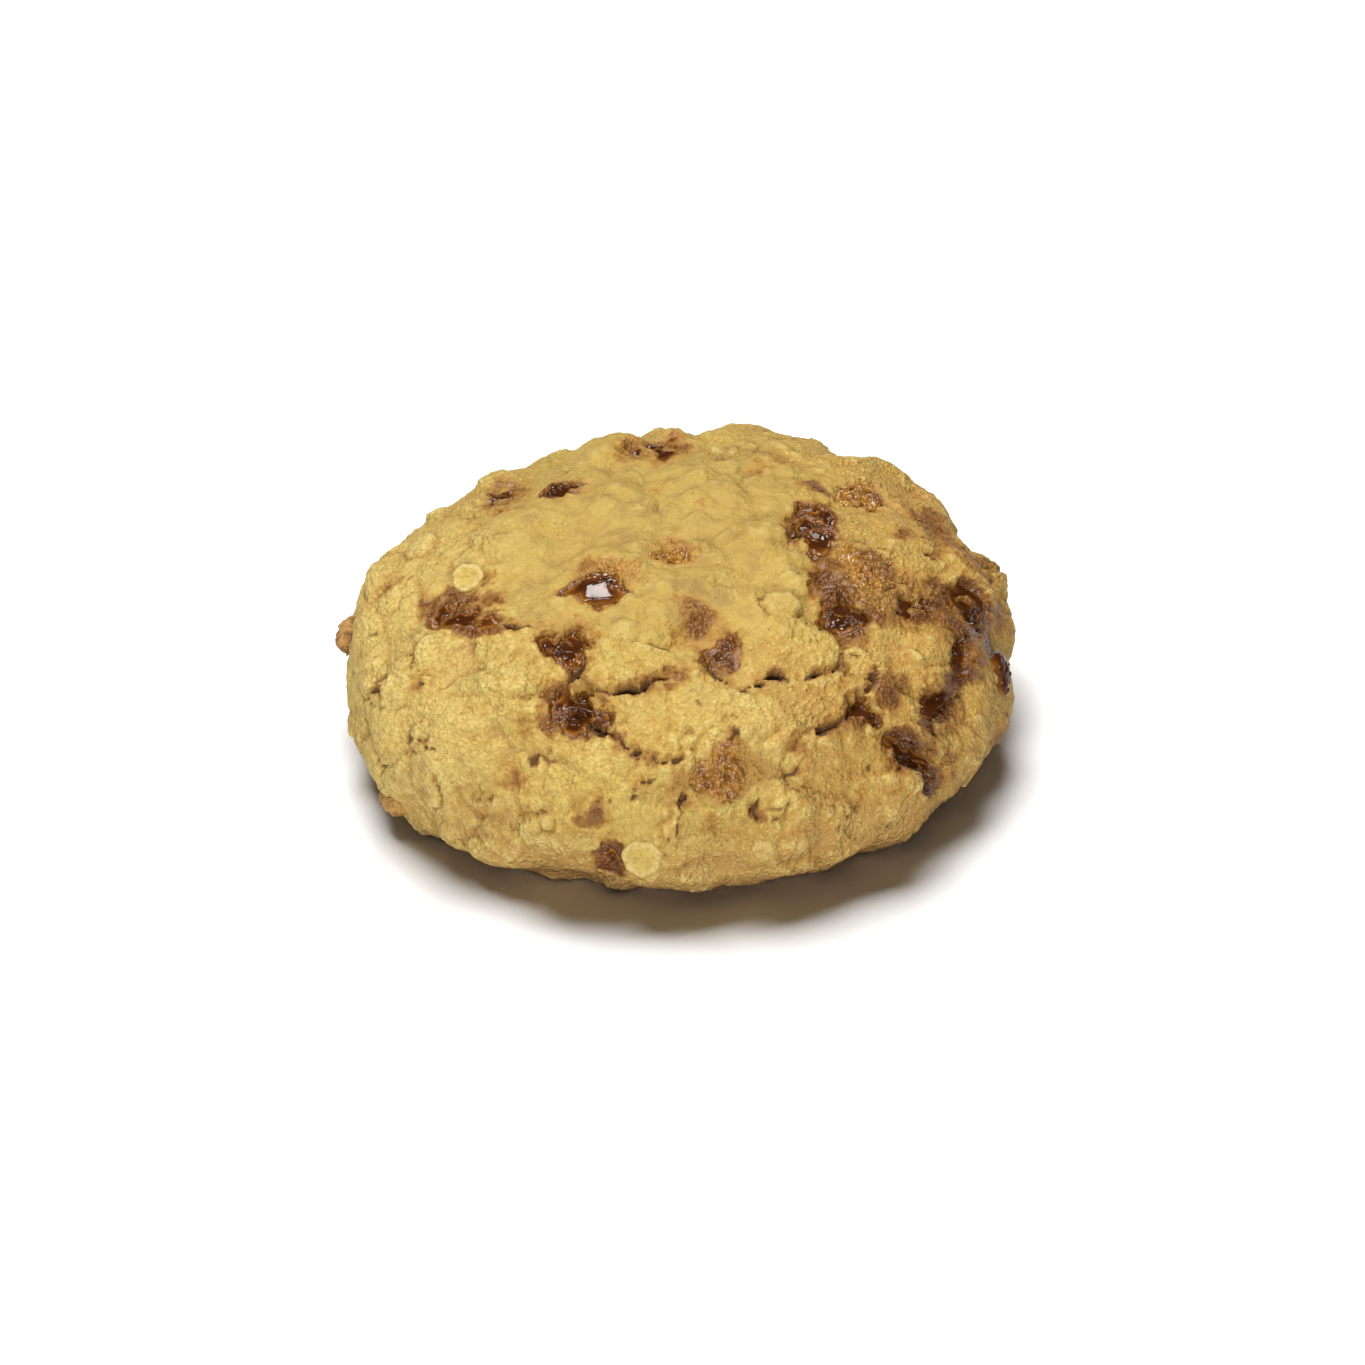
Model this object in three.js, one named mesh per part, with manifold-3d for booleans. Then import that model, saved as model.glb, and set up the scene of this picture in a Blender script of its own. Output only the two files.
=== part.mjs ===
// Salted caramel oat cookie: a thick, domed round of baked dough with rolled oats in its crust and
// pieces of caramel that have melted into pits, cracks and patches of it.
// Millimetres, +Z up. The origin is the middle of the flat base, +X runs to the right of the side
// that is seen first and +Y away from it.

import * as THREE from "three";
import { mergeVertices } from "three/addons/utils/BufferGeometryUtils.js";
import Module from "manifold-3d";

const wasm = await Module();
wasm.setup();

// Driving dimensions of the round.
const WIDTH = 86;
const DEPTH = 81;
const HEIGHT = 32;
const WAIST = 9.5; // height of the widest line
const TUCK = 9.5; // how far the foot draws in below the waist
const FULLNESS = 2.25; // exponent of the dome's section: 2 is an ellipse, more is squarer
const FOOT_CUT = 0.55; // sliver below the floor line that the flat base takes off
const SKEW = 1.45; // bulge of the plan to the back right and the front left
const LOBE = 0.65; // bulge of the plan at three sides, the first of them at LOBE_BEARING
const LOBE_BEARING = 72;

// Unevenness of the crust.
const SWELL = 0.42; // height of the long waves
const SWELL_WAVES = 10;
const SWELL_LONGEST = 21;
const SWELL_SHORTEST = 8;
const LUMPS = 260; // rounded lumps that meet in creases
const LUMP_RADIUS = [3, 5.6];
const LUMP_HEIGHT = [0.3, 1.3];
const LUMP_MEAN = 0.7; // mean height of the lumps, which the round already includes
const FOOT_CALM = 7; // the crust smooths out over this length above the foot
const CRUST_DETAIL = 15; // splits of each edge of the icosahedron that the crust starts from
const BASE_SHARE = 0.06; // weight of the hidden base when points are shared out over the crust

// A place on the crust is a bearing in degrees, 0 at +X and 90 at +Y, and a tape length in
// millimetres down the slope from the crown. These are the swellings and hollows that shape the
// rim and the crown: bearing, tape, radius and height.
const KNOBS = [
  [8, 50, 7, 0.7],
  [17, 46.5, 5, 0.6],
  [21, 41, 4, -1],
  [25.5, 44.5, 5, -1.6],
  [34, 41, 4.5, 0.7],
  [44, 37.5, 6, 1.6],
  [52.5, 33, 5.5, -1.1],
  [62, 37, 5, 0.5],
  [73.5, 34, 5.5, 1.5],
  [86, 30, 4, -0.9],
  [87, 35, 6, -1.6],
  [93, 29, 3.4, 1.3],
  [111, 33.5, 4.5, 0.9],
  [116.5, 38, 5, -1],
  [143, 39.5, 5.5, -1.1],
  [172, 42.5, 7, 0.9],
  [190, 52, 5.5, -1],
  [206, 55.5, 5, -0.5],
  [217, 60.5, 5.5, 1],
  [226, 34, 7, 0.8],
  [230, 60, 7, 0.6],
  [250, 62.5, 10, -1.3],
  [279, 34, 8, 0.9],
  [292, 62, 5.5, -0.9],
  [305, 59, 5, -0.5],
  [315, 61, 4.5, 0.7],
  [322, 58.5, 4, -0.4],
  [329, 58.5, 4, 0.8],
  [331, 37, 5, 1],
  [336.5, 55, 4, -0.9],
  [349, 54, 7, 0.9],
];

// Caramel: the two ends of each piece, the width of its pit, the pit's depth, and the level of the
// caramel against the crust. Toffee is caramel that has crusted over, in a shallow pit.
const CARAMEL = [
  { name: "caramel_crown", from: [213, 18.5], to: [240, 13], width: 4.6, depth: 2.4, level: -0.9 },
  { name: "caramel_crown_left", from: [153, 21], to: [141, 18], width: 3.6, depth: 2.2, level: -0.8 },
  { name: "caramel_crown_right", from: [25, 19], to: [350, 15.5], width: 5.2, depth: 3, level: -1.1 },
  { name: "caramel_crown_front", from: [270, 20.5], to: [288, 23.5], width: 4.2, depth: 2, level: -0.8 },
  { name: "caramel_back_rim", from: [110, 19], to: [89, 26], width: 5.6, depth: 2.8, level: -0.9 },
  { name: "caramel_back_left", from: [140, 30.5], to: [161, 25.5], width: 5.4, depth: 2, level: -0.5 },
  { name: "caramel_left", from: [195, 32], to: [213, 27], width: 5, depth: 2.2, level: -0.7 },
  { name: "caramel_left_inner", from: [226, 24], to: [244, 26], width: 5, depth: 3.2, level: -1.5 },
  { name: "caramel_front_left", from: [239, 30], to: [252, 36], width: 6.4, depth: 4.2, level: -2.2 },
  { name: "caramel_front_foot", from: [257, 51], to: [258, 56], width: 2.8, depth: 1.8, level: -0.6 },
  { name: "caramel_fork", from: [308, 35], to: [312, 39.2], width: 3.4, depth: 3.2, level: -1.8 },
  { name: "caramel_front_split", from: [312, 41.5], to: [321, 52], width: 3.4, depth: 3, level: -1.4 },
  { name: "caramel_right_front", from: [321, 42], to: [333, 42.5], width: 4, depth: 2.6, level: -1.1 },
  { name: "caramel_right_seam", from: [342, 38], to: [336, 43], width: 2.8, depth: 2.2, level: -0.9 },
  { name: "caramel_right_inner", from: [321, 22], to: [328, 28], width: 5.6, depth: 2.8, level: -1.1 },
  { name: "caramel_right_middle", from: [339, 29], to: [344, 33.5], width: 4.4, depth: 2.4, level: -0.9 },
  { name: "caramel_right_outer", from: [359, 35], to: [352, 43], width: 5.8, depth: 3, level: -1.1 },
  { name: "caramel_right_bead", from: [351, 45.5], to: [347, 49.5], width: 3.4, depth: 1.4, level: 0.5 },
  { name: "caramel_left_tab", from: [175.5, 47.5], to: [180, 50.5], width: 3.8, depth: 1.4, level: 1.2 },
  { name: "caramel_foot_tab", from: [208.5, 57.5], to: [213.5, 58.5], width: 2.6, depth: 1.2, level: 1.2 },
  { name: "caramel_rear_left", from: [128, 42], to: [137, 46], width: 4.6, depth: 2.4, level: -0.9 },
  { name: "caramel_rear_middle", from: [97, 42], to: [104, 48], width: 5, depth: 2.8, level: -1 },
  { name: "caramel_rear_right", from: [63, 43], to: [55, 47], width: 4.8, depth: 2.6, level: -1 },
  { name: "toffee_right", from: [352, 21], to: [344, 28], width: 9.5, depth: 1.6, level: -0.1 },
  { name: "toffee_front", from: [274, 38], to: [281, 44], width: 7.4, depth: 1.5, level: -0.1 },
  { name: "toffee_back_right", from: [24, 23], to: [34, 29], width: 5.6, depth: 1.4, level: -0.1 },
  { name: "toffee_crown", from: [241, 6], to: [284, 6], width: 4.4, depth: 1.3, level: 0 },
  { name: "toffee_rear", from: [80, 40], to: [86, 44], width: 6, depth: 1.4, level: -0.1 },
];
const CARAMEL_GAP = 0.35; // clear space between a piece of caramel and its pit
const PIT_SIDES = 11;
const PIT_RINGS = [0.95, 0.7, 0.35, 0]; // depth shares of the rings of a pit's wall
const CARAMEL_RINGS = [0, 0.3, 0.65, 0.9, 1]; // height shares of the rings of its caramel
const PIT_WOBBLE = 0.13; // how far a pit's outline strays from an oval
const PIT_RISE = 3; // how far a pit's cutter stands above the crust
const PIT_FLARE = 1.05; // factor on the radius at the top of the cutter
const PIT_TAPER = 0.9; // how far the wall closes in towards the bottom
const PIT_BELLY = 1.6; // more of it keeps the wall steeper near the crust
const MENISCUS = 0.25; // rise of the caramel from its edge to its middle
const BEAD_CLOSE = 0.5; // how far a bead that stands proud closes in at its top

// Cracks in the crust, as places along each one.
const CRACKS = [
  { along: [[247, 30], [256, 30], [263, 28.5], [273, 26.5]], width: 1.7, depth: 2.4 },
  { along: [[284, 30.5], [294, 29.5], [300, 30.5]], width: 1.5, depth: 2.2 },
  { along: [[251, 35.5], [258, 37.5], [266, 39.5], [271, 39]], width: 1.7, depth: 2.4 },
  { along: [[295, 38.5], [302, 38], [309, 37]], width: 1.7, depth: 2.4 },
  { along: [[320, 32.5], [316, 35.5], [311, 36.5]], width: 1.5, depth: 2.2 },
];
const CRACK_STEPS = 3; // stations between two places of a crack
const CRACK_RISE = 1.6; // how far a crack's cutter stands above the crust
const CRACK_END = 0.15; // share of its width and depth that a crack keeps at its ends

// Rolled oats that show: the hand-placed ones first, then some more at random.
const OAT_RADIUS = [1.9, 2.6];
const OAT_OVAL = 0.86; // width over length
const OAT_THICK = 1;
const OAT_FLAT = 0.82; // share of the radius where the face ends and the round edge starts
const OAT_DISH = 0.6; // height of the dished middle against the edge of the face
const OAT_SIDES = 9;
const OATS_PLACED = [
  { bearing: 263.5, tape: 52.2, radius: 2.6, proud: 0.5 },
  { bearing: 189, tape: 26.5, radius: 2.4, proud: 0.45 },
  { bearing: 75.5, tape: 22.5, radius: 2.1, proud: 0.3 },
  { bearing: 292.5, tape: 41.8, radius: 2.3, proud: 0.35 },
  { bearing: 316, tape: 31.5, radius: 2.2, proud: 0.35 },
];
const OATS_SCATTERED = 12;
const OAT_PROUD = 0.2;
const OAT_LEAN = 0.2; // largest lean of an oat out of the crust, in radians
const OAT_CLEAR = 1.2; // least space between an oat and a pit

const rad = THREE.MathUtils.degToRad;
const smooth = THREE.MathUtils.smoothstep;

// A repeatable source of random numbers between 0 and 1.
function makeDraw(seed) {
  let state = seed;
  return () => {
    state = (state * 16807) % 2147483647;
    return state / 2147483647;
  };
}

const between = ([low, high], share) => low + (high - low) * share;

// Radius of the plan at a bearing in radians.
function planRadius(turn) {
  const oval = 1 / Math.hypot(Math.cos(turn) / (WIDTH / 2), Math.sin(turn) / (DEPTH / 2));
  return oval + SKEW * Math.sin(2 * turn) + LOBE * Math.cos(3 * (turn - rad(LOBE_BEARING)));
}

// Section of the round from the crown over the waist to the foot and the middle of the base. Each
// station has its share of the plan radius, its height, its inset, its tape length and the area of
// crust above it, with the hidden base counted at BASE_SHARE.
function makeSection() {
  const steps = 400;
  const meanRadius = (WIDTH + DEPTH) / 4;
  const underside = WAIST + FOOT_CUT;
  const stations = [];
  for (let i = 0; i <= steps; i++) {
    const lift = (Math.PI / 2) * (1 - i / steps);
    const share = Math.max(0, Math.cos(lift)) ** (2 / FULLNESS);
    const height = WAIST + (HEIGHT - WAIST) * Math.max(0, Math.sin(lift)) ** (2 / FULLNESS);
    stations.push({ share, height, inset: 0, weight: 1 });
  }
  for (let i = 1; i <= steps; i++) {
    const drop = ((Math.PI / 2) * i) / steps;
    const height = WAIST - underside * Math.sin(drop);
    stations.push({ share: 1, height, inset: TUCK * (1 - Math.cos(drop)), weight: 1 });
  }
  for (let i = 1; i <= steps; i++) {
    const left = 1 - i / steps;
    stations.push({ share: left, height: -FOOT_CUT, inset: TUCK * left, weight: BASE_SHARE });
  }
  let tape = 0;
  let area = 0;
  stations.forEach((here, i) => {
    const last = stations[Math.max(0, i - 1)];
    const radiusHere = meanRadius * here.share - here.inset;
    const radiusLast = meanRadius * last.share - last.inset;
    const run = Math.hypot(radiusHere - radiusLast, here.height - last.height);
    tape += run;
    area += run * (radiusHere + radiusLast) * here.weight;
    here.tape = tape;
    here.area = area;
  });
  return { stations, footTape: stations[2 * steps].tape, area };
}

const section = makeSection();

// The station where a growing quantity, tape or area, reaches a value.
function stationAt(key, value) {
  const list = section.stations;
  let low = 0;
  let high = list.length - 1;
  while (high - low > 1) {
    const middle = (low + high) >> 1;
    if (list[middle][key] < value) low = middle;
    else high = middle;
  }
  const span = list[high][key] - list[low][key];
  const share = span > 0 ? THREE.MathUtils.clamp((value - list[low][key]) / span, 0, 1) : 0;
  const mix = (name) => THREE.MathUtils.lerp(list[low][name], list[high][name], share);
  return { share: mix("share"), height: mix("height"), inset: mix("inset"), tape: mix("tape") };
}

// The smooth crust at a bearing in degrees and a tape length, and its outward normal.
function crustPoint(bearing, tape) {
  const turn = rad(bearing);
  const at = stationAt("tape", tape);
  const radius = planRadius(turn) * at.share - at.inset;
  return new THREE.Vector3(radius * Math.cos(turn), radius * Math.sin(turn), at.height);
}

function crustNormal(bearing, tape) {
  const step = 0.4;
  const here = Math.max(tape, 1);
  const downhill = crustPoint(bearing, here + step).sub(crustPoint(bearing, here - step));
  const around = crustPoint(bearing + step, here).sub(crustPoint(bearing - step, here));
  return downhill.cross(around).normalize();
}

// Long waves of the crust, as a sum of sines in directions spread by the golden angle.
const waves = Array.from({ length: SWELL_WAVES }, (_, i) => {
  const share = (i + 0.5) / SWELL_WAVES;
  const rise = 1 - 2 * share;
  const turn = i * Math.PI * (3 - Math.sqrt(5));
  const flat = Math.sqrt(1 - rise * rise);
  const length = between([SWELL_LONGEST, SWELL_SHORTEST], share);
  const direction = new THREE.Vector3(flat * Math.cos(turn), flat * Math.sin(turn), rise);
  return { vector: direction.multiplyScalar((2 * Math.PI) / length), phase: turn };
});

function swellAt(point) {
  const sum = waves.reduce((total, w) => total + Math.sin(w.vector.dot(point) + w.phase), 0);
  return (SWELL * sum) / Math.sqrt(SWELL_WAVES / 2);
}

// Lumps of the crust at random places, the highest of them showing at each point.
const drawLump = makeDraw(303);
const lumps = Array.from({ length: LUMPS }, () => {
  const centre = crustPoint(360 * drawLump(), section.footTape * Math.sqrt(drawLump()));
  const radius = between(LUMP_RADIUS, drawLump());
  const height = between(LUMP_HEIGHT, drawLump() ** 2);
  return { centre, radius, height };
});
const knobs = KNOBS.map(([bearing, tape, radius, height]) => {
  return { centre: crustPoint(bearing, tape), radius, height };
});
const nearness = (point, lump) =>
  Math.max(0, 1 - point.distanceToSquared(lump.centre) / lump.radius ** 2);

// Height of the crust's relief over the smooth round.
function reliefAt(point, tape) {
  const calm = 1 - smooth(tape, section.footTape - FOOT_CALM, section.footTape);
  const cobble = Math.max(...lumps.map((lump) => lump.height * nearness(point, lump)));
  const knob = knobs.reduce((sum, k) => sum + k.height * nearness(point, k) ** 2, 0);
  return (swellAt(point) + cobble - LUMP_MEAN + knob) * calm;
}

// A closed geometry as a solid that can be joined and cut, and back again.
function solidOf(geometry) {
  const bare = geometry.clone();
  bare.deleteAttribute("normal");
  bare.deleteAttribute("uv");
  const merged = mergeVertices(bare, 1e-4);
  const vertProperties = new Float32Array(merged.attributes.position.array);
  const triVerts = new Uint32Array(merged.index.array);
  return new wasm.Manifold(new wasm.Mesh({ numProp: 3, vertProperties, triVerts }));
}

function geometryOf(solid) {
  const { vertProperties, triVerts } = solid.getMesh();
  const geometry = new THREE.BufferGeometry();
  geometry.setAttribute("position", new THREE.BufferAttribute(vertProperties, 3));
  geometry.setIndex(new THREE.BufferAttribute(triVerts, 1));
  geometry.computeVertexNormals();
  return geometry;
}

// The largest body of a solid, without the scraps that a cut can leave.
function mainBody(solid) {
  return solid.decompose().reduce((best, body) => (body.volume() > best.volume() ? body : best));
}

// The round of dough with its relief, before pits, cracks and the flat base are cut.
function makeRound() {
  const ball = new THREE.IcosahedronGeometry(1, CRUST_DETAIL);
  const position = ball.attributes.position;
  const spot = new THREE.Vector3();
  for (let i = 0; i < position.count; i++) {
    spot.fromBufferAttribute(position, i);
    const bearing = THREE.MathUtils.radToDeg(Math.atan2(spot.y, spot.x));
    const { tape } = stationAt("area", (section.area * (1 - spot.z)) / 2);
    const point = crustPoint(bearing, tape);
    const relief = reliefAt(point, tape);
    point.addScaledVector(crustNormal(bearing, tape), relief);
    position.setXYZ(i, point.x, point.y, point.z);
  }
  return solidOf(ball);
}

// The block below the floor line, which leaves the base flat.
function makeFloorBlock() {
  const depth = 10;
  return solidOf(new THREE.BoxGeometry(2 * WIDTH, 2 * DEPTH, depth).translate(0, 0, -depth / 2));
}

// Frame of a pit: X along the caramel, Z out of the crust, with its half length.
function pitFrame({ from, to }) {
  const start = crustPoint(...from);
  const end = crustPoint(...to);
  const bearing = (from[0] + to[0]) / 2 + (Math.abs(from[0] - to[0]) > 180 ? 180 : 0);
  const tape = (from[1] + to[1]) / 2;
  const out = crustNormal(bearing, tape);
  const along = end.clone().sub(start).projectOnPlane(out).normalize();
  const frame = new THREE.Matrix4().makeBasis(along, out.clone().cross(along), out);
  return { frame: frame.setPosition(crustPoint(bearing, tape)), halfLength: start.distanceTo(end) / 2 };
}

// Share of a pit's half width that its wall keeps at a depth share from 0, the crust, to 1.
const pitWall = (depthShare) => Math.sqrt(1 - PIT_TAPER * depthShare ** PIT_BELLY);

// Uneven outline of a pit: the factor on its radius at a turn about its middle.
function wobble(turn, from) {
  const phase = from[0] + from[1];
  return 1 + PIT_WOBBLE * (Math.sin(2 * turn + phase) + Math.sin(3 * turn + 2 * phase));
}

function turnedSolid(profile, piece, gap) {
  const { frame, halfLength } = pitFrame(piece);
  const points = profile.map(([radius, height]) => new THREE.Vector2(radius, height));
  const turned = new THREE.LatheGeometry(points, PIT_SIDES).rotateX(Math.PI / 2);
  const position = turned.attributes.position;
  for (let i = 0; i < position.count; i++) {
    const factor = wobble(Math.atan2(position.getY(i), position.getX(i)), piece.from);
    position.setXY(i, position.getX(i) * factor, position.getY(i) * factor);
  }
  turned.scale(halfLength - gap, piece.width / 2 - gap, 1).applyMatrix4(frame);
  return solidOf(turned);
}

// Cutter of a pit, and the caramel that fills it to its level with a gap all round.
function makePit(piece) {
  const profile = [[0, -piece.depth]];
  PIT_RINGS.forEach((share) => profile.push([pitWall(share), -piece.depth * share]));
  profile.push([PIT_FLARE, PIT_RISE], [0, PIT_RISE]);
  return turnedSolid(profile, piece, 0);
}

function makeCaramel(piece) {
  const fill = piece.depth + piece.level - CARAMEL_GAP;
  const profile = [[0, CARAMEL_GAP - piece.depth]];
  CARAMEL_RINGS.forEach((share) => {
    const height = CARAMEL_GAP - piece.depth + fill * share;
    const depthShare = THREE.MathUtils.clamp((CARAMEL_GAP - height) / piece.depth, 0, PIT_RINGS[0]);
    const dome = height > 0 ? 1 - BEAD_CLOSE * (height / piece.level) ** 2 : 1;
    profile.push([pitWall(depthShare) * dome, height]);
  });
  profile.push([0, piece.level + MENISCUS]);
  return turnedSolid(profile, piece, CARAMEL_GAP);
}

// Wedge that cuts one crack: its mouth is widest in the middle and it closes at both ends.
function makeCrack({ along, width, depth }) {
  const stations = [];
  for (let i = 0; i + 1 < along.length; i++) {
    for (let k = 0; k < CRACK_STEPS; k++) {
      const share = k / CRACK_STEPS;
      stations.push(along[i].map((value, n) => THREE.MathUtils.lerp(value, along[i + 1][n], share)));
    }
  }
  stations.push(along.at(-1));
  const points = stations.map((place) => crustPoint(...place));
  const corners = [];
  stations.forEach((place, i) => {
    const out = crustNormal(...place);
    const ahead = points[Math.min(i + 1, points.length - 1)];
    const across = ahead.clone().sub(points[Math.max(i - 1, 0)]).cross(out).normalize();
    const middle = Math.sin((Math.PI * i) / (stations.length - 1));
    const open = between([CRACK_END, 1], middle);
    const mouth = points[i].clone().addScaledVector(out, CRACK_RISE);
    const halfMouth = (width / 2) * open * (1 + CRACK_RISE / depth);
    corners.push(mouth.clone().addScaledVector(across, halfMouth));
    corners.push(mouth.clone().addScaledVector(across, -halfMouth));
    corners.push(points[i].clone().addScaledVector(out, -depth * open));
  });
  const faces = [0, 1, 2];
  for (let i = 0; i + 1 < stations.length; i++) {
    const [a, b, c, d, e, f] = [0, 1, 2, 3, 4, 5].map((n) => 3 * i + n);
    faces.push(a, d, b, b, d, e, b, e, c, c, e, f, c, f, a, a, f, d);
  }
  const end = 3 * (stations.length - 1);
  faces.push(end, end + 2, end + 1);
  const wedge = new THREE.BufferGeometry().setFromPoints(corners).setIndex(faces);
  return solidOf(wedge);
}

// A rolled oat: an oval flake with a round edge and a dished face, half sunk in the crust.
function makeOat({ bearing, tape, radius, proud, lean = 0, spin = 0 }) {
  const half = OAT_THICK / 2;
  const profile = [[0, -half], [OAT_FLAT, -half], [1, 0], [OAT_FLAT, half], [0, half * OAT_DISH]];
  const points = profile.map(([share, height]) => new THREE.Vector2(share * radius, height));
  const flake = new THREE.LatheGeometry(points, OAT_SIDES).rotateX(Math.PI / 2).scale(1, OAT_OVAL, 1);
  const out = crustNormal(bearing, tape);
  const point = crustPoint(bearing, tape);
  point.addScaledVector(out, reliefAt(point, tape) + proud - half);
  const turn = new THREE.Quaternion().setFromUnitVectors(new THREE.Vector3(0, 0, 1), out);
  flake.rotateZ(spin).rotateX(lean).applyQuaternion(turn).translate(point.x, point.y, point.z);
  return solidOf(flake);
}

// The scattered oats, drawn at random and kept clear of the pits and of each other.
function scatterOats() {
  const draw = makeDraw(4409);
  const taken = OATS_PLACED.map((oat) => ({ centre: crustPoint(oat.bearing, oat.tape), reach: oat.radius }));
  for (const piece of CARAMEL) {
    const { frame, halfLength } = pitFrame(piece);
    taken.push({ centre: new THREE.Vector3().setFromMatrixPosition(frame), reach: halfLength });
  }
  const oats = [];
  while (oats.length < OATS_SCATTERED) {
    const bearing = 360 * draw();
    const tape = (section.footTape - FOOT_CALM) * Math.sqrt(draw());
    const radius = between(OAT_RADIUS, draw());
    const lean = OAT_LEAN * (2 * draw() - 1);
    const spin = 2 * Math.PI * draw();
    const centre = crustPoint(bearing, tape);
    const clear = taken.every((t) => t.centre.distanceTo(centre) > t.reach + radius + OAT_CLEAR);
    if (!clear) continue;
    taken.push({ centre, reach: radius });
    oats.push({ bearing, tape, radius, proud: OAT_PROUD, lean, spin });
  }
  return oats;
}

// The dough: round and oats in one, less the pits, the cracks and what lies below the floor line.
function makeDough(pits) {
  let dough = makeRound();
  for (const oat of [...OATS_PLACED, ...scatterOats()]) dough = dough.add(makeOat(oat));
  for (const crack of CRACKS) dough = dough.subtract(makeCrack(crack));
  for (const pit of pits) dough = dough.subtract(pit);
  return mainBody(dough.subtract(makeFloorBlock()));
}

const doughFinish = new THREE.MeshStandardMaterial({ color: 0xd3a95d, roughness: 0.85, metalness: 0 });
const caramelFinish = new THREE.MeshStandardMaterial({ color: 0x5f2f12, roughness: 0.15, metalness: 0 });
const toffeeFinish = new THREE.MeshStandardMaterial({ color: 0xb0712c, roughness: 0.4, metalness: 0 });

const cookie = new THREE.Group();
cookie.name = "salted_caramel_cookie";

function addPiece(name, solid, material) {
  const mesh = new THREE.Mesh(geometryOf(solid), material);
  mesh.name = name;
  cookie.add(mesh);
}

// Each piece of caramel also keeps out of the pits that come before its own.
const pits = CARAMEL.map(makePit);
addPiece("dough", makeDough(pits), doughFinish);
CARAMEL.forEach((piece, i) => {
  const solid = pits.slice(0, i).reduce((rest, pit) => rest.subtract(pit), makeCaramel(piece));
  const finish = piece.name.startsWith("toffee") ? toffeeFinish : caramelFinish;
  addPiece(piece.name, mainBody(solid), finish);
});

export default cookie;
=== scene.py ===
import math

import bpy
import numpy as np
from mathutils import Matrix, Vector, bvhtree, kdtree, noise


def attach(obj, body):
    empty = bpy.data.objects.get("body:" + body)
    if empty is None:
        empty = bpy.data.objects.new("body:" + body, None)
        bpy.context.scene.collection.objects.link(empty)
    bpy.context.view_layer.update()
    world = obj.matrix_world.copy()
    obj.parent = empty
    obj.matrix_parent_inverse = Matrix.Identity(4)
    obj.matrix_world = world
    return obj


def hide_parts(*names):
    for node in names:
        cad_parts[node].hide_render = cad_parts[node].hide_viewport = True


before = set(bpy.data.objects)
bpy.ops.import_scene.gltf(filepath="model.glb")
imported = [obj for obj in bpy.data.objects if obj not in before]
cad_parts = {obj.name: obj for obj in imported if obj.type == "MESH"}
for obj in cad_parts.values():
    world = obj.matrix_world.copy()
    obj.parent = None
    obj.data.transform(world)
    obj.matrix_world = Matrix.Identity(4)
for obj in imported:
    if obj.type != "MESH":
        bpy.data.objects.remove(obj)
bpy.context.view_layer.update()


# The dough is a thick round of oat dough, spooned out and baked until its crust set in soft lumps
# and split along the front. It is one solid, and the pits in it hold the caramel. Lengths are in
# millimetres until a mesh is made; a place is a bearing, 0 at +X, and a tape length from the crown.
WIDTH, DEPTH, HEIGHT = 86, 81, 32
WAIST, TUCK, FULLNESS, FOOT_CUT = 9.5, 9.5, 2.25, 0.55
SKEW, LOBE, LOBE_BEARING = 1.45, 0.65, 72
SECTION_STEPS, NORMAL_STEP = 400, 0.4
DRAW_FACTOR, DRAW_SPAN = 16807, 2147483647

quarter = np.linspace(0, math.pi / 2, SECTION_STEPS + 1)
lift = quarter[::-1]
drop = quarter[1:]
section_share = np.concatenate([np.cos(lift).clip(0) ** (2 / FULLNESS), np.ones(SECTION_STEPS)])
dome_height = WAIST + (HEIGHT - WAIST) * np.sin(lift).clip(0) ** (2 / FULLNESS)
section_height = np.concatenate([dome_height, WAIST - (WAIST + FOOT_CUT) * np.sin(drop)])
section_inset = np.concatenate([np.zeros(SECTION_STEPS + 1), TUCK * (1 - np.cos(drop))])
section_radius = (WIDTH + DEPTH) / 4 * section_share - section_inset
section_run = np.hypot(np.diff(section_radius), np.diff(section_height))
section_tape = np.concatenate([[0], np.cumsum(section_run)])
ring_area = section_run * (section_radius[1:] + section_radius[:-1])
section_area = np.concatenate([[0], np.cumsum(ring_area)])
foot_tape = section_tape[-1]


def plan_radius(turn):
    oval = 1 / np.hypot(np.cos(turn) / (WIDTH / 2), np.sin(turn) / (DEPTH / 2))
    lobes = LOBE * np.cos(3 * (turn - math.radians(LOBE_BEARING)))
    return oval + SKEW * np.sin(2 * turn) + lobes


def crust_point(bearing, tape):
    turn = np.radians(bearing)
    share = np.interp(tape, section_tape, section_share)
    radius = plan_radius(turn) * share - np.interp(tape, section_tape, section_inset)
    height = np.interp(tape, section_tape, section_height)
    return np.stack([radius * np.cos(turn), radius * np.sin(turn), height], axis=-1)


def crust_normal(bearing, tape):
    here = np.clip(tape, 1, foot_tape - NORMAL_STEP)
    downhill = crust_point(bearing, here + NORMAL_STEP) - crust_point(bearing, here - NORMAL_STEP)
    around = crust_point(bearing + NORMAL_STEP, here) - crust_point(bearing - NORMAL_STEP, here)
    out = np.cross(downhill, around)
    return out / np.linalg.norm(out, axis=-1, keepdims=True)


def draws(seed):
    state = seed
    while True:
        state = state * DRAW_FACTOR % DRAW_SPAN
        yield state / DRAW_SPAN


def drawn_place(draw, margin):
    """A place drawn evenly over the crust, down to a margin at the foot."""
    return 360 * next(draw), (foot_tape - margin) * math.sqrt(next(draw))


def blend(low, high, value):
    share = np.clip((value - low) / (high - low), 0, 1)
    return share * share * (3 - 2 * share)


def bell(value, width):
    return np.exp(-((value / width) ** 2))


def grain(points, size, shift):
    offset = Vector((shift, 2.7 * shift, 5.1 * shift))
    return np.array([noise.noise(Vector(point) + offset) for point in points / size])


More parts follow.
